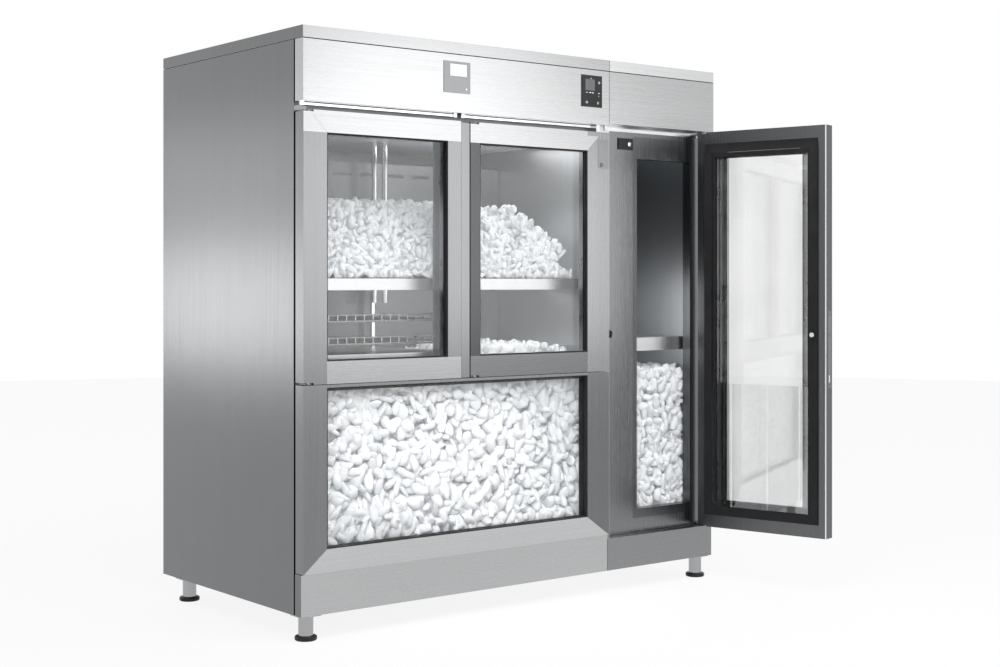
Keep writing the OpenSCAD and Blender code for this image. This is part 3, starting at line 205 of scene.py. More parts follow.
def soften(node, width=0.0012, segments=2, angle=35, cuts=()):
    """A copy of a CAD node with rounded edges, scribed along the planes of cuts if there are any,
    which then replaces the node."""
    source = nodes[node]
    copy = bpy.data.objects.new(node + "_bent", source.data.copy())
    scene.collection.objects.link(copy)
    take(copy)
    bpy.ops.object.mode_set(mode="EDIT")
    bpy.ops.mesh.select_all(action="SELECT")
    bpy.ops.mesh.remove_doubles(threshold=0.00001)
    bpy.ops.mesh.customdata_custom_splitnormals_clear()
    bpy.ops.mesh.tris_convert_to_quads(face_threshold=0.01, shape_threshold=3.14)
    bpy.ops.mesh.dissolve_limited(angle_limit=math.radians(1))
    for point, normal in cuts:
        bpy.ops.mesh.select_all(action="SELECT")
        bpy.ops.mesh.bisect(plane_co=at(*point), plane_no=normal)
    bpy.ops.object.mode_set(mode="OBJECT")
    bevel = copy.modifiers.new("bend", "BEVEL")
    bevel.width, bevel.segments = width, segments
    bevel.limit_method, bevel.angle_limit = "ANGLE", math.radians(angle)
    bevel.use_clamp_overlap = True
    apply_modifiers(copy)
    smooth(copy, 40)
    flat = copy.modifiers.new("flat faces", "WEIGHTED_NORMAL")
    flat.keep_sharp = True
    apply_modifiers(copy)
    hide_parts(node)
    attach(copy, body_of(node))
    return copy


# %% [markdown]
# Materials come next. Brushed steel is bare metal whose surface carries thousands of fine
# parallel scratches from an abrasive belt. Three layers of noise make it: a very stretched one
# for the scratches, a softer one for the wider bands of the belt, and a slow cloud that is partly
# handling marks and partly a painted soft reflection.
# All of them read Object coordinates, so the grain keeps its size on every panel. A panel takes
# its grain along its length, X for the level ones and Z for the upright ones.


# %% Material helpers
def new_material(name):
    material = bpy.data.materials.new(name)
    material.use_nodes = True
    tree = material.node_tree
    shader = next(n for n in tree.nodes if n.type == "BSDF_PRINCIPLED")
    return material, tree, shader


def noise_field(tree, scale, detail=2.0, roughness=0.5, size=1.0):
    """Noise on Object coordinates, stretched by a different scale along each axis."""
    place = tree.nodes.new("ShaderNodeTexCoord")
    mapping = tree.nodes.new("ShaderNodeMapping")
    mapping.inputs["Scale"].default_value = scale
    field = tree.nodes.new("ShaderNodeTexNoise")
    field.inputs["Scale"].default_value = size
    field.inputs["Detail"].default_value = detail
    field.inputs["Roughness"].default_value = roughness
    tree.links.new(place.outputs["Object"], mapping.inputs["Vector"])
    tree.links.new(mapping.outputs["Vector"], field.inputs["Vector"])
    return field.outputs["Fac"]


def remap(tree, value, low, high, from_low=0.3, from_high=0.7):
    node = tree.nodes.new("ShaderNodeMapRange")
    node.inputs["From Min"].default_value = from_low
    node.inputs["From Max"].default_value = from_high
    node.inputs["To Min"].default_value = low
    node.inputs["To Max"].default_value = high
    tree.links.new(value, node.inputs["Value"])
    return node.outputs["Result"]


def blend_colors(tree, factor, first, second):
    mix = tree.nodes.new("ShaderNodeMix")
    mix.data_type = "RGBA"
    mix.inputs["A"].default_value = (*first, 1)
    mix.inputs["B"].default_value = (*second, 1)
    tree.links.new(factor, mix.inputs["Factor"])
    return mix.outputs["Result"]


def multiply(tree, first, second):
    node = tree.nodes.new("ShaderNodeMath")
    node.operation = "MULTIPLY"
    tree.links.new(first, node.inputs[0])
    tree.links.new(second, node.inputs[1])
    return node.outputs["Value"]


def bump(tree, shader, height, strength, distance):
    node = tree.nodes.new("ShaderNodeBump")
    node.inputs["Strength"].default_value = strength
    node.inputs["Distance"].default_value = distance
    tree.links.new(height, node.inputs["Height"])
    tree.links.new(node.outputs["Normal"], shader.inputs["Normal"])


ALONG, ACROSS = 2.5, 700  # scale of the scratches with and across the grain
GRAIN = {"X": (ALONG, ACROSS, ACROSS), "Z": (ACROSS, ACROSS, ALONG)}
BAND_SCALE = 0.06  # the belt's bands are this much coarser than its scratches


def brushed_steel(name, tone, along, roughness=0.26, contrast=0.07, relief=0.35):
    """Bare steel of one tone whose scratches run along X or Z."""
    material, tree, shader = new_material(name)
    scratches = noise_field(tree, GRAIN[along], detail=3, roughness=0.7)
    bands = noise_field(tree, tuple(s * BAND_SCALE for s in GRAIN[along]), detail=2)
    # the slow cloud: partly handling marks, partly a painted soft reflection in the colour
    cloud = noise_field(tree, (2.2, 2.2, 1.6), detail=2)
    light = tuple(min(1.0, c * (1 + contrast)) for c in tone)
    dark = tuple(c * (1 - contrast) for c in tone)
    grain = multiply(tree, remap(tree, scratches, 0.55, 1.0), remap(tree, bands, 0.75, 1.0))
    grain = multiply(tree, grain, remap(tree, cloud, 0.85, 1.05))
    tree.links.new(blend_colors(tree, grain, dark, light), shader.inputs["Base Color"])
    rough = remap(tree, scratches, roughness - 0.04, roughness + 0.06)
    tree.links.new(rough, shader.inputs["Roughness"])
    shader.inputs["Metallic"].default_value = 1.0
    bump(tree, shader, scratches, relief, 0.0003)
    return material


# These are all one brushed steel; their tones are painted light and shade. Each tone stands in for
# how bright that part looks in the studio: lighter where the sheet would mirror the bright floor
# and lamps, darker where it lies in shade (the hinge stile, the tall door's liner and free edge),
# and near-white on the tall door's fold as a painted highlight.
steel_side = brushed_steel("steel_side_panel", (0.172, 0.176, 0.180), "Z", 0.20)
steel_header = brushed_steel("steel_header", (0.44, 0.446, 0.45), "X", 0.26)
steel_cap = brushed_steel("steel_cap", (0.42, 0.426, 0.43), "X", 0.28)
cap_right_painted_reflection = brushed_steel("cap_right_painted_reflection", (0.60, 0.606, 0.61), "X", 0.28)
steel_rail = brushed_steel("steel_rail", (0.40, 0.404, 0.41), "X", 0.26)
steel_stile = brushed_steel("steel_stile", (0.205, 0.209, 0.213), "Z", 0.24)
steel_left_middle = brushed_steel("steel_left_middle_rail", (0.32, 0.324, 0.328), "X", 0.26)
steel_right_middle = brushed_steel("steel_right_middle_rail", (0.165, 0.168, 0.171), "X", 0.26)
lock_stile_painted_reflection = brushed_steel("lock_stile_painted_reflection", (0.255, 0.259, 0.263), "Z", 0.24)
hinge_stile_painted_shade = brushed_steel("hinge_stile_painted_shade", (0.075, 0.077, 0.079), "Z", 0.24)
lower_stile_painted_shade = brushed_steel("lower_right_stile_painted_shade", (0.175, 0.178, 0.181), "Z", 0.24)
steel_leg = brushed_steel("steel_leg", (0.36, 0.364, 0.37), "Z", 0.16, contrast=0.12)
steel_low_rail = brushed_steel("steel_low_rail", (0.50, 0.505, 0.51), "X", 0.26)
steel_plinth = brushed_steel("steel_plinth", (0.44, 0.446, 0.45), "X", 0.26)
plinth_right_painted_shade = brushed_steel("plinth_right_painted_shade", (0.255, 0.259, 0.263), "X", 0.26)
liner_painted_shade = brushed_steel("liner_painted_shade", (0.14, 0.143, 0.147), "Z", 0.28)
fold_painted_highlight = brushed_steel("fold_painted_highlight", (0.88, 0.885, 0.89), "Z", 0.20)
edge_painted_shade = brushed_steel("door_edge_painted_shade", (0.105, 0.108, 0.111), "Z", 0.18, contrast=0.2)
steel_opening = brushed_steel("steel_opening", (0.205, 0.209, 0.213), "Z", 0.24)
steel_inside = brushed_steel("steel_inside", (0.42, 0.435, 0.45), "Z", 0.38)
steel_back = brushed_steel("steel_back_wall", (0.175, 0.182, 0.189), "Z", 0.38)
steel_partition = brushed_steel("steel_partition", (0.60, 0.615, 0.63), "Z", 0.38)
steel_shelf = brushed_steel("steel_shelf", (0.66, 0.67, 0.68), "X", 0.32)
print("steel finishes made")

# %% [markdown]
# The other finishes. Glass panes are thin, so they are made as a clear sheet whose mirror
# reflection grows at grazing angles, with no refraction to slow the light down. The back face of
# a pane takes the inverse index, so that it reflects like the front face and not like a mirror.
# Rubber and moulded plastic get a fine skin grain. Ice is the hardest: cloudy inside, wet and
# clear at the rim, so it mixes a bright body with some transmission and a faint painted glow.


# %% Glass, rubber, plastic, chrome and the rest
PANE_INDEX = 1.22  # low, as each pane has two faces and the panes stand in pairs
ICE_INDEX = 1.31


def glass(name, tint, haze):
    """Thin clear pane: mostly transparent, with a reflection that grows at grazing angles."""
    material, tree, shader = new_material(name)
    shader.inputs["Base Color"].default_value = (*tint, 1)
    shader.inputs["Metallic"].default_value = 1.0
    shader.inputs["Roughness"].default_value = 0.03
    facing = tree.nodes.new("ShaderNodeNewGeometry")
    fresnel = tree.nodes.new("ShaderNodeFresnel")
    index = remap(tree, facing.outputs["Backfacing"], PANE_INDEX, 1 / PANE_INDEX, 0, 1)
    tree.links.new(index, fresnel.inputs["IOR"])
    smear = noise_field(tree, (3, 3, 2), detail=3)
    cover = tree.nodes.new("ShaderNodeMath")
    cover.operation = "ADD"
    tree.links.new(fresnel.outputs["Fac"], cover.inputs[0])
    tree.links.new(remap(tree, smear, haze * 0.5, haze), cover.inputs[1])
    tree.links.new(cover.outputs["Value"], shader.inputs["Alpha"])
    return material


def moulded(name, tone, roughness, grain=1400, strength=0.15, metallic=0.0, spread=0.25,
        sheen=0.5):
    """Rubber, plastic or paint: one tone with a fine skin and a little wear."""
    material, tree, shader = new_material(name)
    skin = noise_field(tree, (grain, grain, grain), detail=2)
    wear = noise_field(tree, (14, 14, 14), detail=4)
    light = tuple(min(1.0, c * (1 + spread) + 0.004) for c in tone)
    color = blend_colors(tree, remap(tree, wear, 0, 1), tone, light)
    tree.links.new(color, shader.inputs["Base Color"])
    rough = remap(tree, wear, roughness - 0.06, roughness + 0.08)
    tree.links.new(rough, shader.inputs["Roughness"])
    shader.inputs["Metallic"].default_value = metallic
    shader.inputs["Specular IOR Level"].default_value = sheen
    bump(tree, shader, skin, strength, 0.0002)
    return material


def ice_material(name, body, clarity, glow):
    """Ice with a cloudy body: clarity lets light through, glow is a painted inner glow."""
    material, tree, shader = new_material(name)
    cloud = noise_field(tree, (38, 38, 38), detail=3)
    frost = noise_field(tree, (420, 420, 420), detail=2)
    shade = tuple(c * 0.86 for c in body)
    color = blend_colors(tree, remap(tree, cloud, 0, 1), shade, body)
    tree.links.new(color, shader.inputs["Base Color"])
    tree.links.new(remap(tree, cloud, 0.05, 0.20), shader.inputs["Roughness"])
    shader.inputs["IOR"].default_value = ICE_INDEX
    shader.inputs["Transmission Weight"].default_value = clarity
    shader.inputs["Emission Color"].default_value = (0.95, 0.975, 1.0, 1)
    shader.inputs["Emission Strength"].default_value = glow
    bump(tree, shader, frost, 0.15, 0.0006)
    return material


clear_glass = glass("clear_glass", (0.95, 0.97, 0.97), 0.008)
tall_glass = glass("tall_door_glass", (0.90, 0.92, 0.92), 0.10)
clear_plastic = glass("clear_plastic", (0.92, 0.94, 0.95), 0.16)
black_rubber = moulded("black_rubber", (0.010, 0.010, 0.011), 0.55, sheen=0.22)
black_plastic = moulded("black_plastic", (0.012, 0.012, 0.013), 0.38, sheen=0.25)
grey_plastic = moulded("grey_plastic", (0.25, 0.25, 0.26), 0.42)
display_glass = moulded("display", (0.075, 0.078, 0.085), 0.18, strength=0.0)
white_sheet = moulded("white_sheet", (0.72, 0.76, 0.79), 0.35, grain=500)
# a dark tone for the frames and brackets behind the doors: painted shade for the gaps they sit in
sheet_painted_shade = moulded("sheet_painted_shade", (0.20, 0.21, 0.22), 0.45, metallic=0.6)
chrome = moulded("bright_steel", (0.78, 0.79, 0.80), 0.12, grain=900, strength=0.02,
    metallic=1.0, spread=0.05)
satin_plate = moulded("satin_plate", (0.21, 0.215, 0.22), 0.34, metallic=0.9)
dark_steel = moulded("dark_steel", (0.13, 0.13, 0.135), 0.25, metallic=1.0)
pale_plate = moulded("pale_plate", (0.50, 0.51, 0.52), 0.30, metallic=0.3)
enamel = moulded("black_enamel", (0.016, 0.016, 0.017), 0.22)
fin_metal = moulded("fin_aluminium", (0.70, 0.71, 0.72), 0.36, metallic=1.0)
copper = moulded("drawn_copper", (0.70, 0.36, 0.22), 0.28, metallic=1.0)
spacer_metal = moulded("spacer_metal", (0.34, 0.345, 0.35), 0.30, grain=900, strength=0.05,
    metallic=1.0)
# both ice finishes carry a faint emission: a painted glow
ice_body = ice_material("ice_chip", (0.95, 0.965, 0.98), 0.28, 0.04)
# the core's grey is painted shade for the gaps between the chips
ice_core_painted_shade = ice_material("ice_core_painted_shade", (0.66, 0.70, 0.74), 0.0, 0.03)

# %% [markdown]
# Each CAD node that already has the right shape keeps it and only takes one of these finishes.

# %% Finishes of the CAD nodes
FINISH = {
    steel_side: ["side_panel_left", "side_panel_right", "back_panels"],
    steel_back: ["plenum_wall"],
    steel_partition: ["partition_panels"],
    steel_shelf: ["shelves", "bin_plate"],
    white_sheet: ["insulated_decks"],
    # frames and brackets in the door gaps: a dark tone as painted shade
    sheet_painted_shade: ["base_frame", "front_frame_left", "pivot_brackets"],
    steel_cap: ["top_caps"],
    steel_header: ["header_left", "header_right"],
    steel_plinth: ["plinths"],
    steel_stile: ["mullion_strip", "lower_window_frame", "left_door_frame", "right_door_frame",
        "tall_door_frame"],
    steel_opening: ["front_frame_right", "lock_case_plate"],
    # the opening profile takes the liner's dark tone, as painted shade
    liner_painted_shade: ["opening_profile"],
    black_rubber: ["panel_seals", "lower_window_seal", "left_door_seals", "right_door_seals",
        "tall_door_seals"],
    black_plastic: ["controller_body", "switch_box", "condenser_fan", "evaporator_fan",
        "cable_gland", "foot_pads"],
    grey_plastic: ["button_left", "button_right", "button_top"],
    satin_plate: ["badge_plate", "lock_plate"],
    chrome: ["head_rails", "pivot_pins", "shelf_supports", "switch_plunger",
        "lock_bolt", "deadbolt", "thumb_turn"],
    dark_steel: ["lock_cylinder"],
    steel_leg: ["legs"],
    spacer_metal: ["wire_racks"],
    clear_glass: ["lower_window_glass", "left_door_glass", "right_door_glass"],
    tall_glass: ["tall_door_glass"],
    clear_plastic: ["ice_guard"],
    enamel: ["compressor"],
    fin_metal: ["condenser", "evaporator"],
    copper: ["refrigerant_pipes"],
    ice_core_painted_shade: ["ice_on_shelf", "ice_in_bins"],
}
for material, names in FINISH.items():
    for name in names:
        dress(nodes[name], material)
finished = {name for names in FINISH.values() for name in names}
print("nodes without a finish:", sorted(set(nodes) - finished))

# %% [markdown]
# Now the bent edges. The panels and frames that show get them; hidden ones stay plain. Some
# frames are also scribed: at the window edges, where rails and stiles meet, and along the tall
# door's free edge, where a narrow strip of its fold carries a painted highlight.

# %% Bent edges of the visible steel
# Window edges in cabinet millimetres: X for the left and right one, Z for the upper and lower ones.
LEFT_WINDOW, RIGHT_WINDOW = (92, 584), (724, 1230)
UPPER_WINDOW, LOWER_WINDOW = (915, 1665), (300, 828)
FOLD_WIDTH = 4.5


def upright(x):
    """An upright plane across the cabinet's width, as a point and a normal."""
    return (x, 0, 0), (1, 0, 0)


def level(z):
    """A level plane, as a point and a normal."""
    return (0, 0, z), (0, 0, 1)


inward = Vector((-0.9703, -0.2419, 0))  # from the open door's glass towards the cabinet
free_edge = Vector((0.2419, -0.9703, 0))  # out of the open door's free edge
tall_vertices = nodes["tall_door_frame"].data.vertices
edge_plane = max((v.co - corner).dot(free_edge) for v in tall_vertices) / MM
CUTS = {
    "tall_door_frame": [(tuple((edge_plane - FOLD_WIDTH) * free_edge), tuple(free_edge))],
    "left_door_frame": [upright(LEFT_WINDOW[0]), level(UPPER_WINDOW[0]), level(UPPER_WINDOW[1])],
    "right_door_frame": [upright(RIGHT_WINDOW[1]), level(UPPER_WINDOW[0]), level(UPPER_WINDOW[1])],
    "lower_window_frame": [upright(LEFT_WINDOW[0]), upright(RIGHT_WINDOW[1]),
        level(LOWER_WINDOW[0]), level(LOWER_WINDOW[1])],
}
bent = {}
for name in ["side_panel_left", "side_panel_right", "top_caps", "header_left", "header_right",
        "plinths", "lower_window_frame", "left_door_frame", "right_door_frame", "tall_door_frame",
        "mullion_strip", "shelves", "lock_plate", "badge_plate", "controller_body", "switch_box"]:
    bent[name] = soften(name, cuts=CUTS.get(name, ()))
    print(name, "has", len(bent[name].data.polygons), "faces")

# %% [markdown]
# One panel can carry several finishes: a helper gives a finish to those faces that a rule picks
# by their middle, in cabinet millimetres, and their normal. Wide faces that carry two finishes
# were cut by a bisect above, before their edges were rounded, so that the shading stays flat.


# %% Finishing faces by a rule
def refinish(obj, material, rule):
    """Gives material to the faces for which rule(middle, normal) holds."""
    mesh = obj.data
    mesh.materials.append(material)
    slot = len(mesh.materials) - 1
    picked = 0
    for polygon in mesh.polygons:
        if rule((polygon.center - corner) / MM, polygon.normal):
            polygon.material_index = slot
            picked += 1
    print(obj.name, material.name, picked, "faces")


# %% [markdown]
# The door frames look like one big picture frame: the outer stiles run from top to bottom and
# meet the top and bottom rails in mitres, and the middle rails butt against them. Each length is
# brushed along itself, so the rails take a level grain and the stiles an upright one. The lengths
# also differ in tone, as they are turned to different parts of the room: this is painted
# reflection and painted shade in their colour, lighter where a sheet would mirror the bright floor
# and lamps, darker where it would mirror shade.

# %% Grain of rails and stiles
MITRE_TOP = 1719  # above this height a corner belongs to the top rail
LOW_MITRE_SLOPE = 0.84


def rail_of_left_door(p, n):
    if p.x < LEFT_WINDOW[0]:
        return p.z - UPPER_WINDOW[1] > LEFT_WINDOW[0] - p.x or p.z > MITRE_TOP
    return p.z > UPPER_WINDOW[1]


def rail_of_right_door(p, n):
    if p.x > RIGHT_WINDOW[1]:
        return p.z - UPPER_WINDOW[1] > p.x - RIGHT_WINDOW[1] or p.z > MITRE_TOP
    return p.z > UPPER_WINDOW[1]


def rail_of_lower_frame(p, n):
    outside = max(LEFT_WINDOW[0] - p.x, p.x - RIGHT_WINDOW[1], 0)
    return LOWER_WINDOW[0] - p.z > outside * LOW_MITRE_SLOPE


refinish(bent["left_door_frame"], steel_rail, rail_of_left_door)
refinish(bent["right_door_frame"], steel_rail, rail_of_right_door)
# each middle rail takes its own tone of the steel: painted reflection and painted shade
refinish(bent["left_door_frame"], steel_left_middle,
    lambda p, n: p.z < UPPER_WINDOW[0] and p.x > LEFT_WINDOW[0])
refinish(bent["right_door_frame"], steel_right_middle,
    lambda p, n: p.z < UPPER_WINDOW[0] and p.x < RIGHT_WINDOW[1])
# the lock stile takes a lighter tone of the steel as painted reflection
refinish(bent["right_door_frame"], lock_stile_painted_reflection,
    lambda p, n: p.x > RIGHT_WINDOW[1] and not rail_of_right_door(p, n))
# the right door's hinge stile takes a near-black tone of the steel as painted shade
refinish(bent["right_door_frame"], hinge_stile_painted_shade,
    lambda p, n: p.x < RIGHT_WINDOW[0] and UPPER_WINDOW[0] < p.z < UPPER_WINDOW[1] and n.y < -0.5)
# the lower frame's right stile takes a darker tone of the steel as painted shade
refinish(bent["lower_window_frame"], lower_stile_painted_shade, lambda p, n: p.x > RIGHT_WINDOW[1])
refinish(bent["lower_window_frame"], steel_low_rail, rail_of_lower_frame)

# %% [markdown]
# The tall door stands open, so we see its inner side: a liner and a free edge in dark tones of the
# same steel as painted shade, a near-white fold beside the liner as a painted highlight, and a
# lighter steel strip behind the glass. All of them are found by how far they lie from the plane of
# the liner or of the free edge.

# %% Finishes of the tall door
tall = bent["tall_door_frame"]
liner_plane = max((v.co - corner).dot(inward) for v in tall.data.vertices) / MM


def on_liner(p, n):
    return n.dot(inward) > 0.9 and p.dot(inward) > liner_plane - 10


# the liner and the level faces: a dark tone as painted shade
refinish(tall, liner_painted_shade, lambda p, n: on_liner(p, n) or abs(n.z) > 0.9)
# the free edge: a dark tone as painted shade
refinish(tall, edge_painted_shade, lambda p, n: n.dot(free_edge) > 0.9 and p.dot(inward) > liner_plane - 60)
# the fold: a near-white tone as a painted highlight
refinish(tall, fold_painted_highlight, lambda p, n: n.dot(inward) > 0.3
    and p.dot(free_edge) > edge_plane - FOLD_WIDTH + 0.1 and p.dot(inward) > liner_plane - 3)
refinish(tall, spacer_metal, lambda p, n: n.dot(inward) > 0.9 and p.dot(inward) < liner_plane - 10)

# %% [markdown]
# The sheet over the tall door's window is a narrow one: the glass and its gasket reach further up
# than those of the other doors. The upper edge of the window is raised in the three pieces that
# form it, by a plain move in edit mode. The raised part of the gasket is pressed flat, so that
# the closed door clears the switch. A cut just under it keeps the rest of the gasket full.

# %% Upper edge of the tall door's window
WINDOW_RISE = 38
RAISED_BAND = (1600, 1722)  # height of the points that are moved
GASKET_CUT, GASKET_FLAT_FROM, GASKET_FLAT = 1640, 1681, 0.5
bent["tall_door_seals"] = soften("tall_door_seals", 0.001, 2, cuts=[level(GASKET_CUT)])
bent["tall_door_glass"] = soften("tall_door_glass", 0.0004, 1)
for name in ["tall_door_frame", "tall_door_seals", "tall_door_glass"]:
    piece = take(bent[name])
    bpy.ops.object.mode_set(mode="EDIT")
    bpy.ops.mesh.select_mode(type="VERT")
    bpy.ops.mesh.select_all(action="DESELECT")
    bpy.ops.object.mode_set(mode="OBJECT")
    for vertex in piece.data.vertices:
        vertex.select = RAISED_BAND[0] * MM < vertex.co.z < RAISED_BAND[1] * MM
    bpy.ops.object.mode_set(mode="EDIT")
    bpy.ops.transform.translate(value=(0, 0, WINDOW_RISE * MM))
    bpy.ops.object.mode_set(mode="OBJECT")
    print(name, "top now at", round(max(v.co.z for v in piece.data.vertices) / MM, 1), "mm")

for vertex in bent["tall_door_seals"].data.vertices:
    stands_out = (vertex.co - corner).dot(inward) - (liner_plane + GASKET_FLAT) * MM
    if vertex.co.z > GASKET_FLAT_FROM * MM and stands_out > 0:
        vertex.co -= stands_out * inward

refinish(bent["tall_door_seals"], spacer_metal,
    lambda p, n: abs(n.dot(free_edge)) > 0.5 and p.dot(inward) < liner_plane - 14)

# %% [markdown]
# The cap and plinth of each section take their own tone of the same steel, as painted light and
# painted shade: the right cap is lighter and the right plinth darker than those of the left
# section. The ends of the caps continue the side panels. The inner sides of the side panels are
# the chamber walls, and a metal spacer shows between the panes of the upper doors.

# %% Finishes of caps, plinths, walls and spacers
SECTION_SEAM = 1341
# the right cap takes a lighter tone as painted reflection
refinish(bent["top_caps"], cap_right_painted_reflection, lambda p, n: p.x > SECTION_SEAM)
refinish(bent["top_caps"], steel_side, lambda p, n: abs(n.x) > 0.9)
# the right plinth takes a darker tone as painted shade
refinish(bent["plinths"], plinth_right_painted_shade, lambda p, n: p.x > SECTION_SEAM)
refinish(bent["plinths"], steel_side, lambda p, n: abs(n.x) > 0.9)
refinish(bent["side_panel_left"], steel_inside, lambda p, n: n.x > 0.9 and p.x > 10)
refinish(bent["side_panel_right"], steel_inside, lambda p, n: n.x < -0.9 and p.x < 1890)
for name in ["left_door_seals", "right_door_seals"]:
    refinish(soften(name, 0.0004, 1), spacer_metal, lambda p, n: p.y > 20 and abs(n.y) < 0.5)

# %% [markdown]
# Loose ice is many small pieces, each a little different. Five chips are made by hand, each from
# a short cylinder that is pressed, bevelled at its rims and roughened. The heaps are then built
# from copies of these five.

# %% Five chips of ice
CHIP_SHAPES = [
    (1.0, 0.72, 0.34), (1.15, 0.62, 0.28), (0.9, 0.85, 0.36), (1.0, 0.80, 0.24), (0.75, 0.70, 0.45),
]


def make_chip(index, shape):
    deselect_all()
    bpy.ops.mesh.primitive_cylinder_add(vertices=8, radius=0.5, depth=1)
    chip = bpy.context.object
    chip.scale = shape
    settle(chip, f"chip_{index}")
    bpy.ops.object.mode_set(mode="EDIT")
    bpy.ops.mesh.select_all(action="DESELECT")
    bpy.ops.object.mode_set(mode="OBJECT")
    for vertex in chip.data.vertices:
        vertex.select = vertex.co.y < -0.01
    bpy.ops.object.mode_set(mode="EDIT")
    bpy.ops.transform.resize(value=(0.9, 0.5, 1), center_override=(0, 0, 0))
    bpy.ops.mesh.select_all(action="DESELECT")
    bpy.ops.mesh.select_mode(type="FACE")
    bpy.ops.object.mode_set(mode="OBJECT")
    for polygon in chip.data.polygons:
        polygon.select = abs(polygon.normal.z) > 0.9
    bpy.ops.object.mode_set(mode="EDIT")
    bpy.ops.mesh.bevel(offset=0.08, segments=1, affect="EDGES")
    bpy.ops.mesh.select_all(action="SELECT")
    bpy.ops.transform.vertex_random(offset=0.035, seed=7 + index)
    bpy.ops.mesh.quads_convert_to_tris()
    bpy.ops.object.mode_set(mode="OBJECT")
    points = [v.co.copy() for v in chip.data.vertices]
    faces = [tuple(p.vertices) for p in chip.data.polygons]
    bpy.data.objects.remove(chip)
    return points, faces


chips = [make_chip(i, shape) for i, shape in enumerate(CHIP_SHAPES)]
print("chips with", [len(faces) for _, faces in chips], "faces")

# %% [markdown]
# Behind the outer chips a heap is too dense to look into, so its inside is one cloudy core: the
# CAD ice, drawn in by a little less than the size of a chip. Its grey is painted shade for the
# gaps between the chips.


# %% Cores of the heaps
def ice_core_of(node, inset):
    source = nodes[node]
    core = bpy.data.objects.new(node + "_core", source.data.copy())
    scene.collection.objects.link(core)
    take(core)
    bpy.ops.object.mode_set(mode="EDIT")
    bpy.ops.mesh.select_all(action="SELECT")
    bpy.ops.mesh.remove_doubles(threshold=0.00001)
    bpy.ops.mesh.customdata_custom_splitnormals_clear()
    bpy.ops.transform.shrink_fatten(value=-inset, use_even_offset=True)
    bpy.ops.object.mode_set(mode="OBJECT")
    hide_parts(node)
    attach(core, "cabinet")
    return core


shelf_core = ice_core_of("ice_on_shelf", 0.016)
bin_core = ice_core_of("ice_in_bins", 0.040)

# %% [markdown]
# Scattering works on the triangles of the CAD ice. A point is drawn on a triangle in proportion
# to its area, and kept only if no other chip is too near. Each chip is turned at random and then
# pushed back until it touches the glass or the bin from inside, so that the heap lies in its box
# as real ice does. The slope of the upper heap gets a few more layers on top, as ice slides and
# piles up towards its foot.


# %% Scattering the chips
TRIES = 5  # points drawn for each place on the surface
CLOSEST = 0.8  # nearest neighbour, as a part of the spacing


def scatter(name, node, keep, spacing, size, sink, layers, seed, limits, reach=(0, 1900)):
    """A heap of chips over those triangles of a node that keep(centre, normal) accepts, between
    the two cabinet X of reach. The first layer lies sink metres under the surface, and no chip
    leaves the box of limits."""
    rng = random.Random(seed)
    mesh = nodes[node].data
    triangles, total = [], 0.0
    for polygon in mesh.polygons:
        if keep((polygon.center - corner) / MM, polygon.normal):
            total += polygon.area
            points = [mesh.vertices[i].co.copy() for i in polygon.vertices]
            triangles.append((total, points, polygon.normal.copy()))
    vertices, faces = [], []
    sums = [t[0] for t in triangles]
    low, high = at(*limits[0]), at(*limits[1])
    for layer in range(layers):
        taken = {}
        for _ in range(int(total / spacing ** 2 * TRIES)):
            area, (a, b, c), normal = triangles[bisect.bisect_left(sums, rng.random() * total)]
            u, v = rng.random(), rng.random()
            if u + v > 1:
                u, v = 1 - u, 1 - v
            spot = a + (b - a) * u + (c - a) * v
            if not reach[0] < (spot.x - corner.x) / MM < reach[1]:
                continue
            cell = tuple(int(math.floor(k / spacing)) for k in spot)
            near = (taken.get((cell[0] + i, cell[1] + j, cell[2] + k))
                for i in (-1, 0, 1) for j in (-1, 0, 1) for k in (-1, 0, 1))
            closest = spacing * CLOSEST
            if any(other is not None and (other - spot).length < closest for other in near):
                continue
            taken[cell] = spot
            width = size * rng.uniform(0.7, 1.2)
            centre = spot - normal * (sink + layer * size * 0.45 + rng.uniform(0, 0.25) * size)
            turn = Euler([rng.uniform(0, math.tau) for _ in range(3)]).to_matrix() * width
            points, chip_faces = chips[rng.randrange(len(chips))]
            placed = [centre + turn @ p for p in points]
            for k in range(3):
                lowest, highest = min(p[k] for p in placed), max(p[k] for p in placed)
                shift = max(0, low[k] - lowest) or min(0, high[k] - highest)
                for p in placed:
                    p[k] += shift
            start = len(vertices)
            vertices += placed
            faces += [tuple(start + i for i in face) for face in chip_faces]
    heap = bpy.data.meshes.new(name)
    heap.from_pydata(vertices, [], faces)
    obj = bpy.data.objects.new(name, heap)
    scene.collection.objects.link(obj)
    dress(obj, ice_body)
    smooth(obj, 60)
    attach(obj, "cabinet")
    print(name, len(faces), "faces")
    return obj


BIN_END, COLUMN_START, BIN_TOP, BIN_FRONT = 1300, 1392, 832, 90
scatter("shelf_ice_chips", "ice_on_shelf", lambda p, n: n.z > 0.1 or n.y < -0.3,
    spacing=0.024, size=0.043, sink=-0.004, layers=2, seed=11,
    limits=[(57, 112, 1188), (1262, 525, 1480)])
scatter("slope_ice_chips", "ice_on_shelf", lambda p, n: n.z > 0.1,
    spacing=0.026, size=0.046, sink=-0.078, layers=4, seed=15,
    limits=[(960, 116, 1188), (1225, 505, 1470)], reach=(1005, 1185))
scatter("bin_ice_chips", "ice_in_bins",
    lambda p, n: p.x < BIN_END and n.y < -0.2 and p.z < BIN_TOP and p.y < BIN_FRONT,
    spacing=0.031, size=0.074, sink=0.006, layers=3, seed=12,
    limits=[(66, 50.6, 287), (1274, 170, 834)])
scatter("mound_ice_chips", "ice_in_bins",
    lambda p, n: p.x < BIN_END and n.z > 0.3 and p.z > BIN_TOP + 0.5,
    spacing=0.032, size=0.056, sink=0.0, layers=2, seed=13,
    limits=[(672, 106, 829), (1274, 606, 960)])
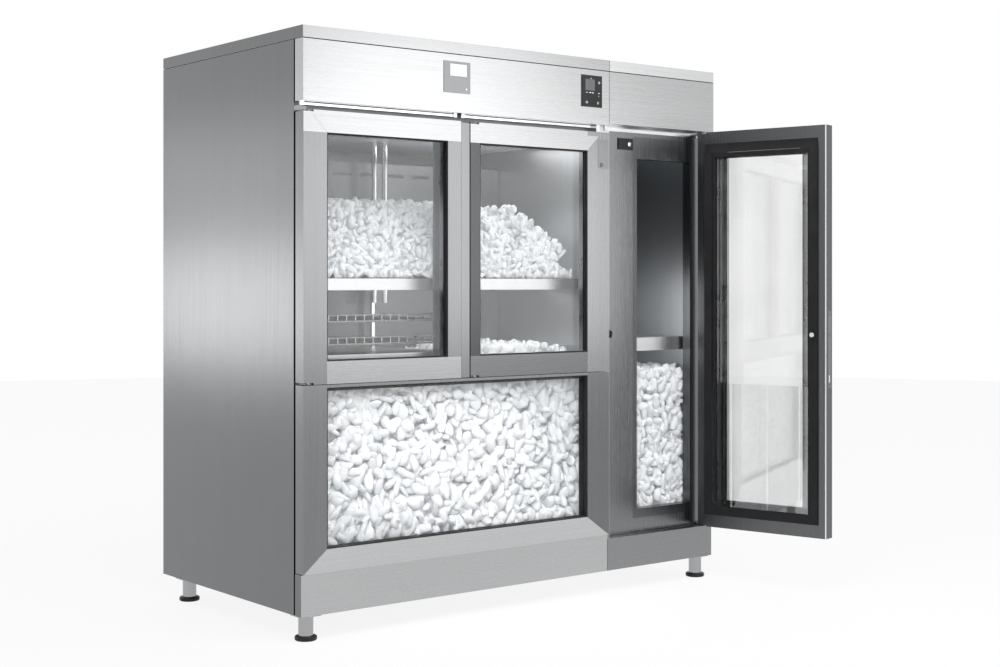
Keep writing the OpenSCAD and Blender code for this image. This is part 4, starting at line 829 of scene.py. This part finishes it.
scatter("column_ice_chips", "ice_in_bins",
    lambda p, n: p.x > COLUMN_START and (n.y < -0.2 or n.z > 0.5),
    spacing=0.029, size=0.062, sink=0.0, layers=3, seed=14,
    limits=[(1397, 99, 272), (1844, 606, 850)])

# %% [markdown]
# Small things finish the front: the controller's display and marks, the badge's plain window and
# rivet, and the thin black sealing beads under the caps.

# %% Controller, badge and sealing beads
white_print = moulded("white_print", (0.75, 0.76, 0.77), 0.4, strength=0.05, spread=0.05)
display = dress(box_piece((1216, -4.5, 1889), (1263, -3.4, 1931), 0.0003), display_glass)
MARKS = [  # X, Z, width and height
    (1218, 1880, 9, 1.6), (1236, 1879, 8, 3.4), (1250, 1879, 6, 3.4),
    (1240, 1934, 6, 1.4), (1280, 1879, 5, 3), (1280, 1868, 3, 3),
]
marks = [box_piece((x, -4.3, z), (x + w, -3.6, z + h), 0.0001, 1) for x, z, w, h in MARKS]
marks = dress(join(marks, "controller_marks"), white_print)
window = dress(box_piece((592, -2.5, 1892), (664, -1.6, 1934), 0.0003), pale_plate)
rivet = dress(rod_piece((662, -2.9, 1848), (662, -1.8, 1848), 0.0028, 20, 0.0006), chrome)
beads = [box_piece((x0, -0.4, 1966.8), (x1, 1.5, 1969.4), 0.0003, 1)
    for x0, x1 in [(1, 1339), (1342.5, 1899)]]
beads = dress(join(beads, "cap_beads"), black_rubber)
for obj, name, slot in [
        (display, "display", "black_plastic"), (marks, "controller_marks", "plate"),
        (window, "badge_window", "plate"), (rivet, "badge_rivet", "bright_steel"),
        (beads, "cap_beads", "seal")]:
    obj.name = name
    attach(obj, "cabinet")

# %% [markdown]
# The studio: a pale floor that runs into a white background, and soft light from large lamps.
# White for the camera, for reflections and through glass comes from Light Path, so that the
# lamps can stay gentle and no steel burns out.


# %% Floor, world and lamps
FLOOR_RADIUS = 14
FLOOR_GLOW = 0.88  # part of the floor's look that is plain white; the rest takes the shadow


def white_for_eyes(tree, quiet, bright):
    """Mixes two shaders: bright where the camera, a reflection or a pane looks, else quiet."""
    path = tree.nodes.new("ShaderNodeLightPath")
    seen = tree.nodes.new("ShaderNodeMath")
    seen.operation = "MAXIMUM"
    tree.links.new(path.outputs["Is Camera Ray"], seen.inputs[0])
    tree.links.new(path.outputs["Is Glossy Ray"], seen.inputs[1])
    both = tree.nodes.new("ShaderNodeMath")
    both.operation = "MAXIMUM"
    tree.links.new(seen.outputs["Value"], both.inputs[0])
    tree.links.new(path.outputs["Is Transmission Ray"], both.inputs[1])
    mix = tree.nodes.new("ShaderNodeMixShader")
    tree.links.new(both.outputs["Value"], mix.inputs["Fac"])
    tree.links.new(quiet, mix.inputs[1])
    tree.links.new(bright, mix.inputs[2])
    return mix.outputs["Shader"]


world = bpy.data.worlds.new("studio")
scene.world = world
world.use_nodes = True
world_tree = world.node_tree
world_tree.nodes.clear()
quiet_sky = world_tree.nodes.new("ShaderNodeBackground")
quiet_sky.inputs["Color"].default_value = (0.97, 0.985, 1.0, 1)
quiet_sky.inputs["Strength"].default_value = 0.6
bright_sky = world_tree.nodes.new("ShaderNodeBackground")
bright_sky.inputs["Color"].default_value = (1, 1, 1, 1)
bright_sky.inputs["Strength"].default_value = 1.0
world_out = world_tree.nodes.new("ShaderNodeOutputWorld")
sky = white_for_eyes(world_tree, quiet_sky.outputs["Background"],
    bright_sky.outputs["Background"])
world_tree.links.new(sky, world_out.inputs["Surface"])

deselect_all()
bpy.ops.mesh.primitive_circle_add(vertices=64, radius=FLOOR_RADIUS, fill_type="NGON",
    location=(0, 0, 0))
floor = settle(bpy.context.object, "floor")
floor_material, floor_tree, floor_shader = new_material("pale_floor")
floor_shader.inputs["Base Color"].default_value = (0.9, 0.9, 0.9, 1)
floor_shader.inputs["Roughness"].default_value = 0.6
glow = floor_tree.nodes.new("ShaderNodeEmission")
glow.inputs["Color"].default_value = (1, 1, 1, 1)
glow.inputs["Strength"].default_value = 1.0
half = floor_tree.nodes.new("ShaderNodeMixShader")
half.inputs["Fac"].default_value = FLOOR_GLOW
floor_tree.links.new(floor_shader.outputs["BSDF"], half.inputs[1])
floor_tree.links.new(glow.outputs["Emission"], half.inputs[2])
floor_out = next(n for n in floor_tree.nodes if n.type == "OUTPUT_MATERIAL")
ground = white_for_eyes(floor_tree, floor_shader.outputs["BSDF"], half.outputs["Shader"])
floor_tree.links.new(ground, floor_out.inputs["Surface"])
dress(floor, floor_material)


def area_lamp(name, place, target, size, power):
    data = bpy.data.lights.new(name, "AREA")
    data.shape = "RECTANGLE"
    data.size, data.size_y = size
    data.energy = power
    lamp = bpy.data.objects.new(name, data)
    scene.collection.objects.link(lamp)
    lamp.location = at(*place)
    lamp.rotation_euler = (at(*target) - at(*place)).to_track_quat("-Z", "Y").to_euler()
    lamp.visible_camera = False
    return lamp


LAMPS = [  # name, place and target in cabinet millimetres, size in metres, watts
    ("header_softbox", (2580, -3000, 2400), (2450, 0, 2330), (1.7, 0.75), 6.6),
    ("front_softbox", (2650, -3000, 1415), (2650, 0, 1415), (3.1, 1.27), 21),
    ("side_softbox", (-3000, 6000, 985), (0, 6000, 985), (3.4, 0.85), 26),
    ("side_sky", (-3000, 6000, 1860), (0, 6000, 1860), (3.4, 0.9), 8),
    ("overhead", (600, -1500, 4200), (900, 300, 900), (3.0, 2.0), 60),
    ("right_bay", (985, 330, 1695), (985, 330, 1000), (0.5, 0.3), 1.1),
    ("right_bay_low", (985, 300, 1150), (985, 340, 900), (0.5, 0.2), 0.5),
    ("right_chamber", (1400, 350, 1020), (1848, 350, 1000), (0.4, 0.35), 1.0),
    ("ice_key", (700, -900, 2300), (700, 100, 600), (1.8, 0.3), 12),
    ("bin_key", (-400, -1300, 1600), (660, 60, 540), (0.9, 0.4), 3.2),
]
lamps = {lamp[0]: area_lamp(*lamp) for lamp in LAMPS}
# The two keys are meant for the ice, so they leave no mirror image in the steel.
lamps["ice_key"].visible_glossy = False
lamps["bin_key"].visible_glossy = False
lamps["bin_key"].data.spread = math.radians(45)
scene.view_settings.view_transform = "Standard"
print("studio ready")
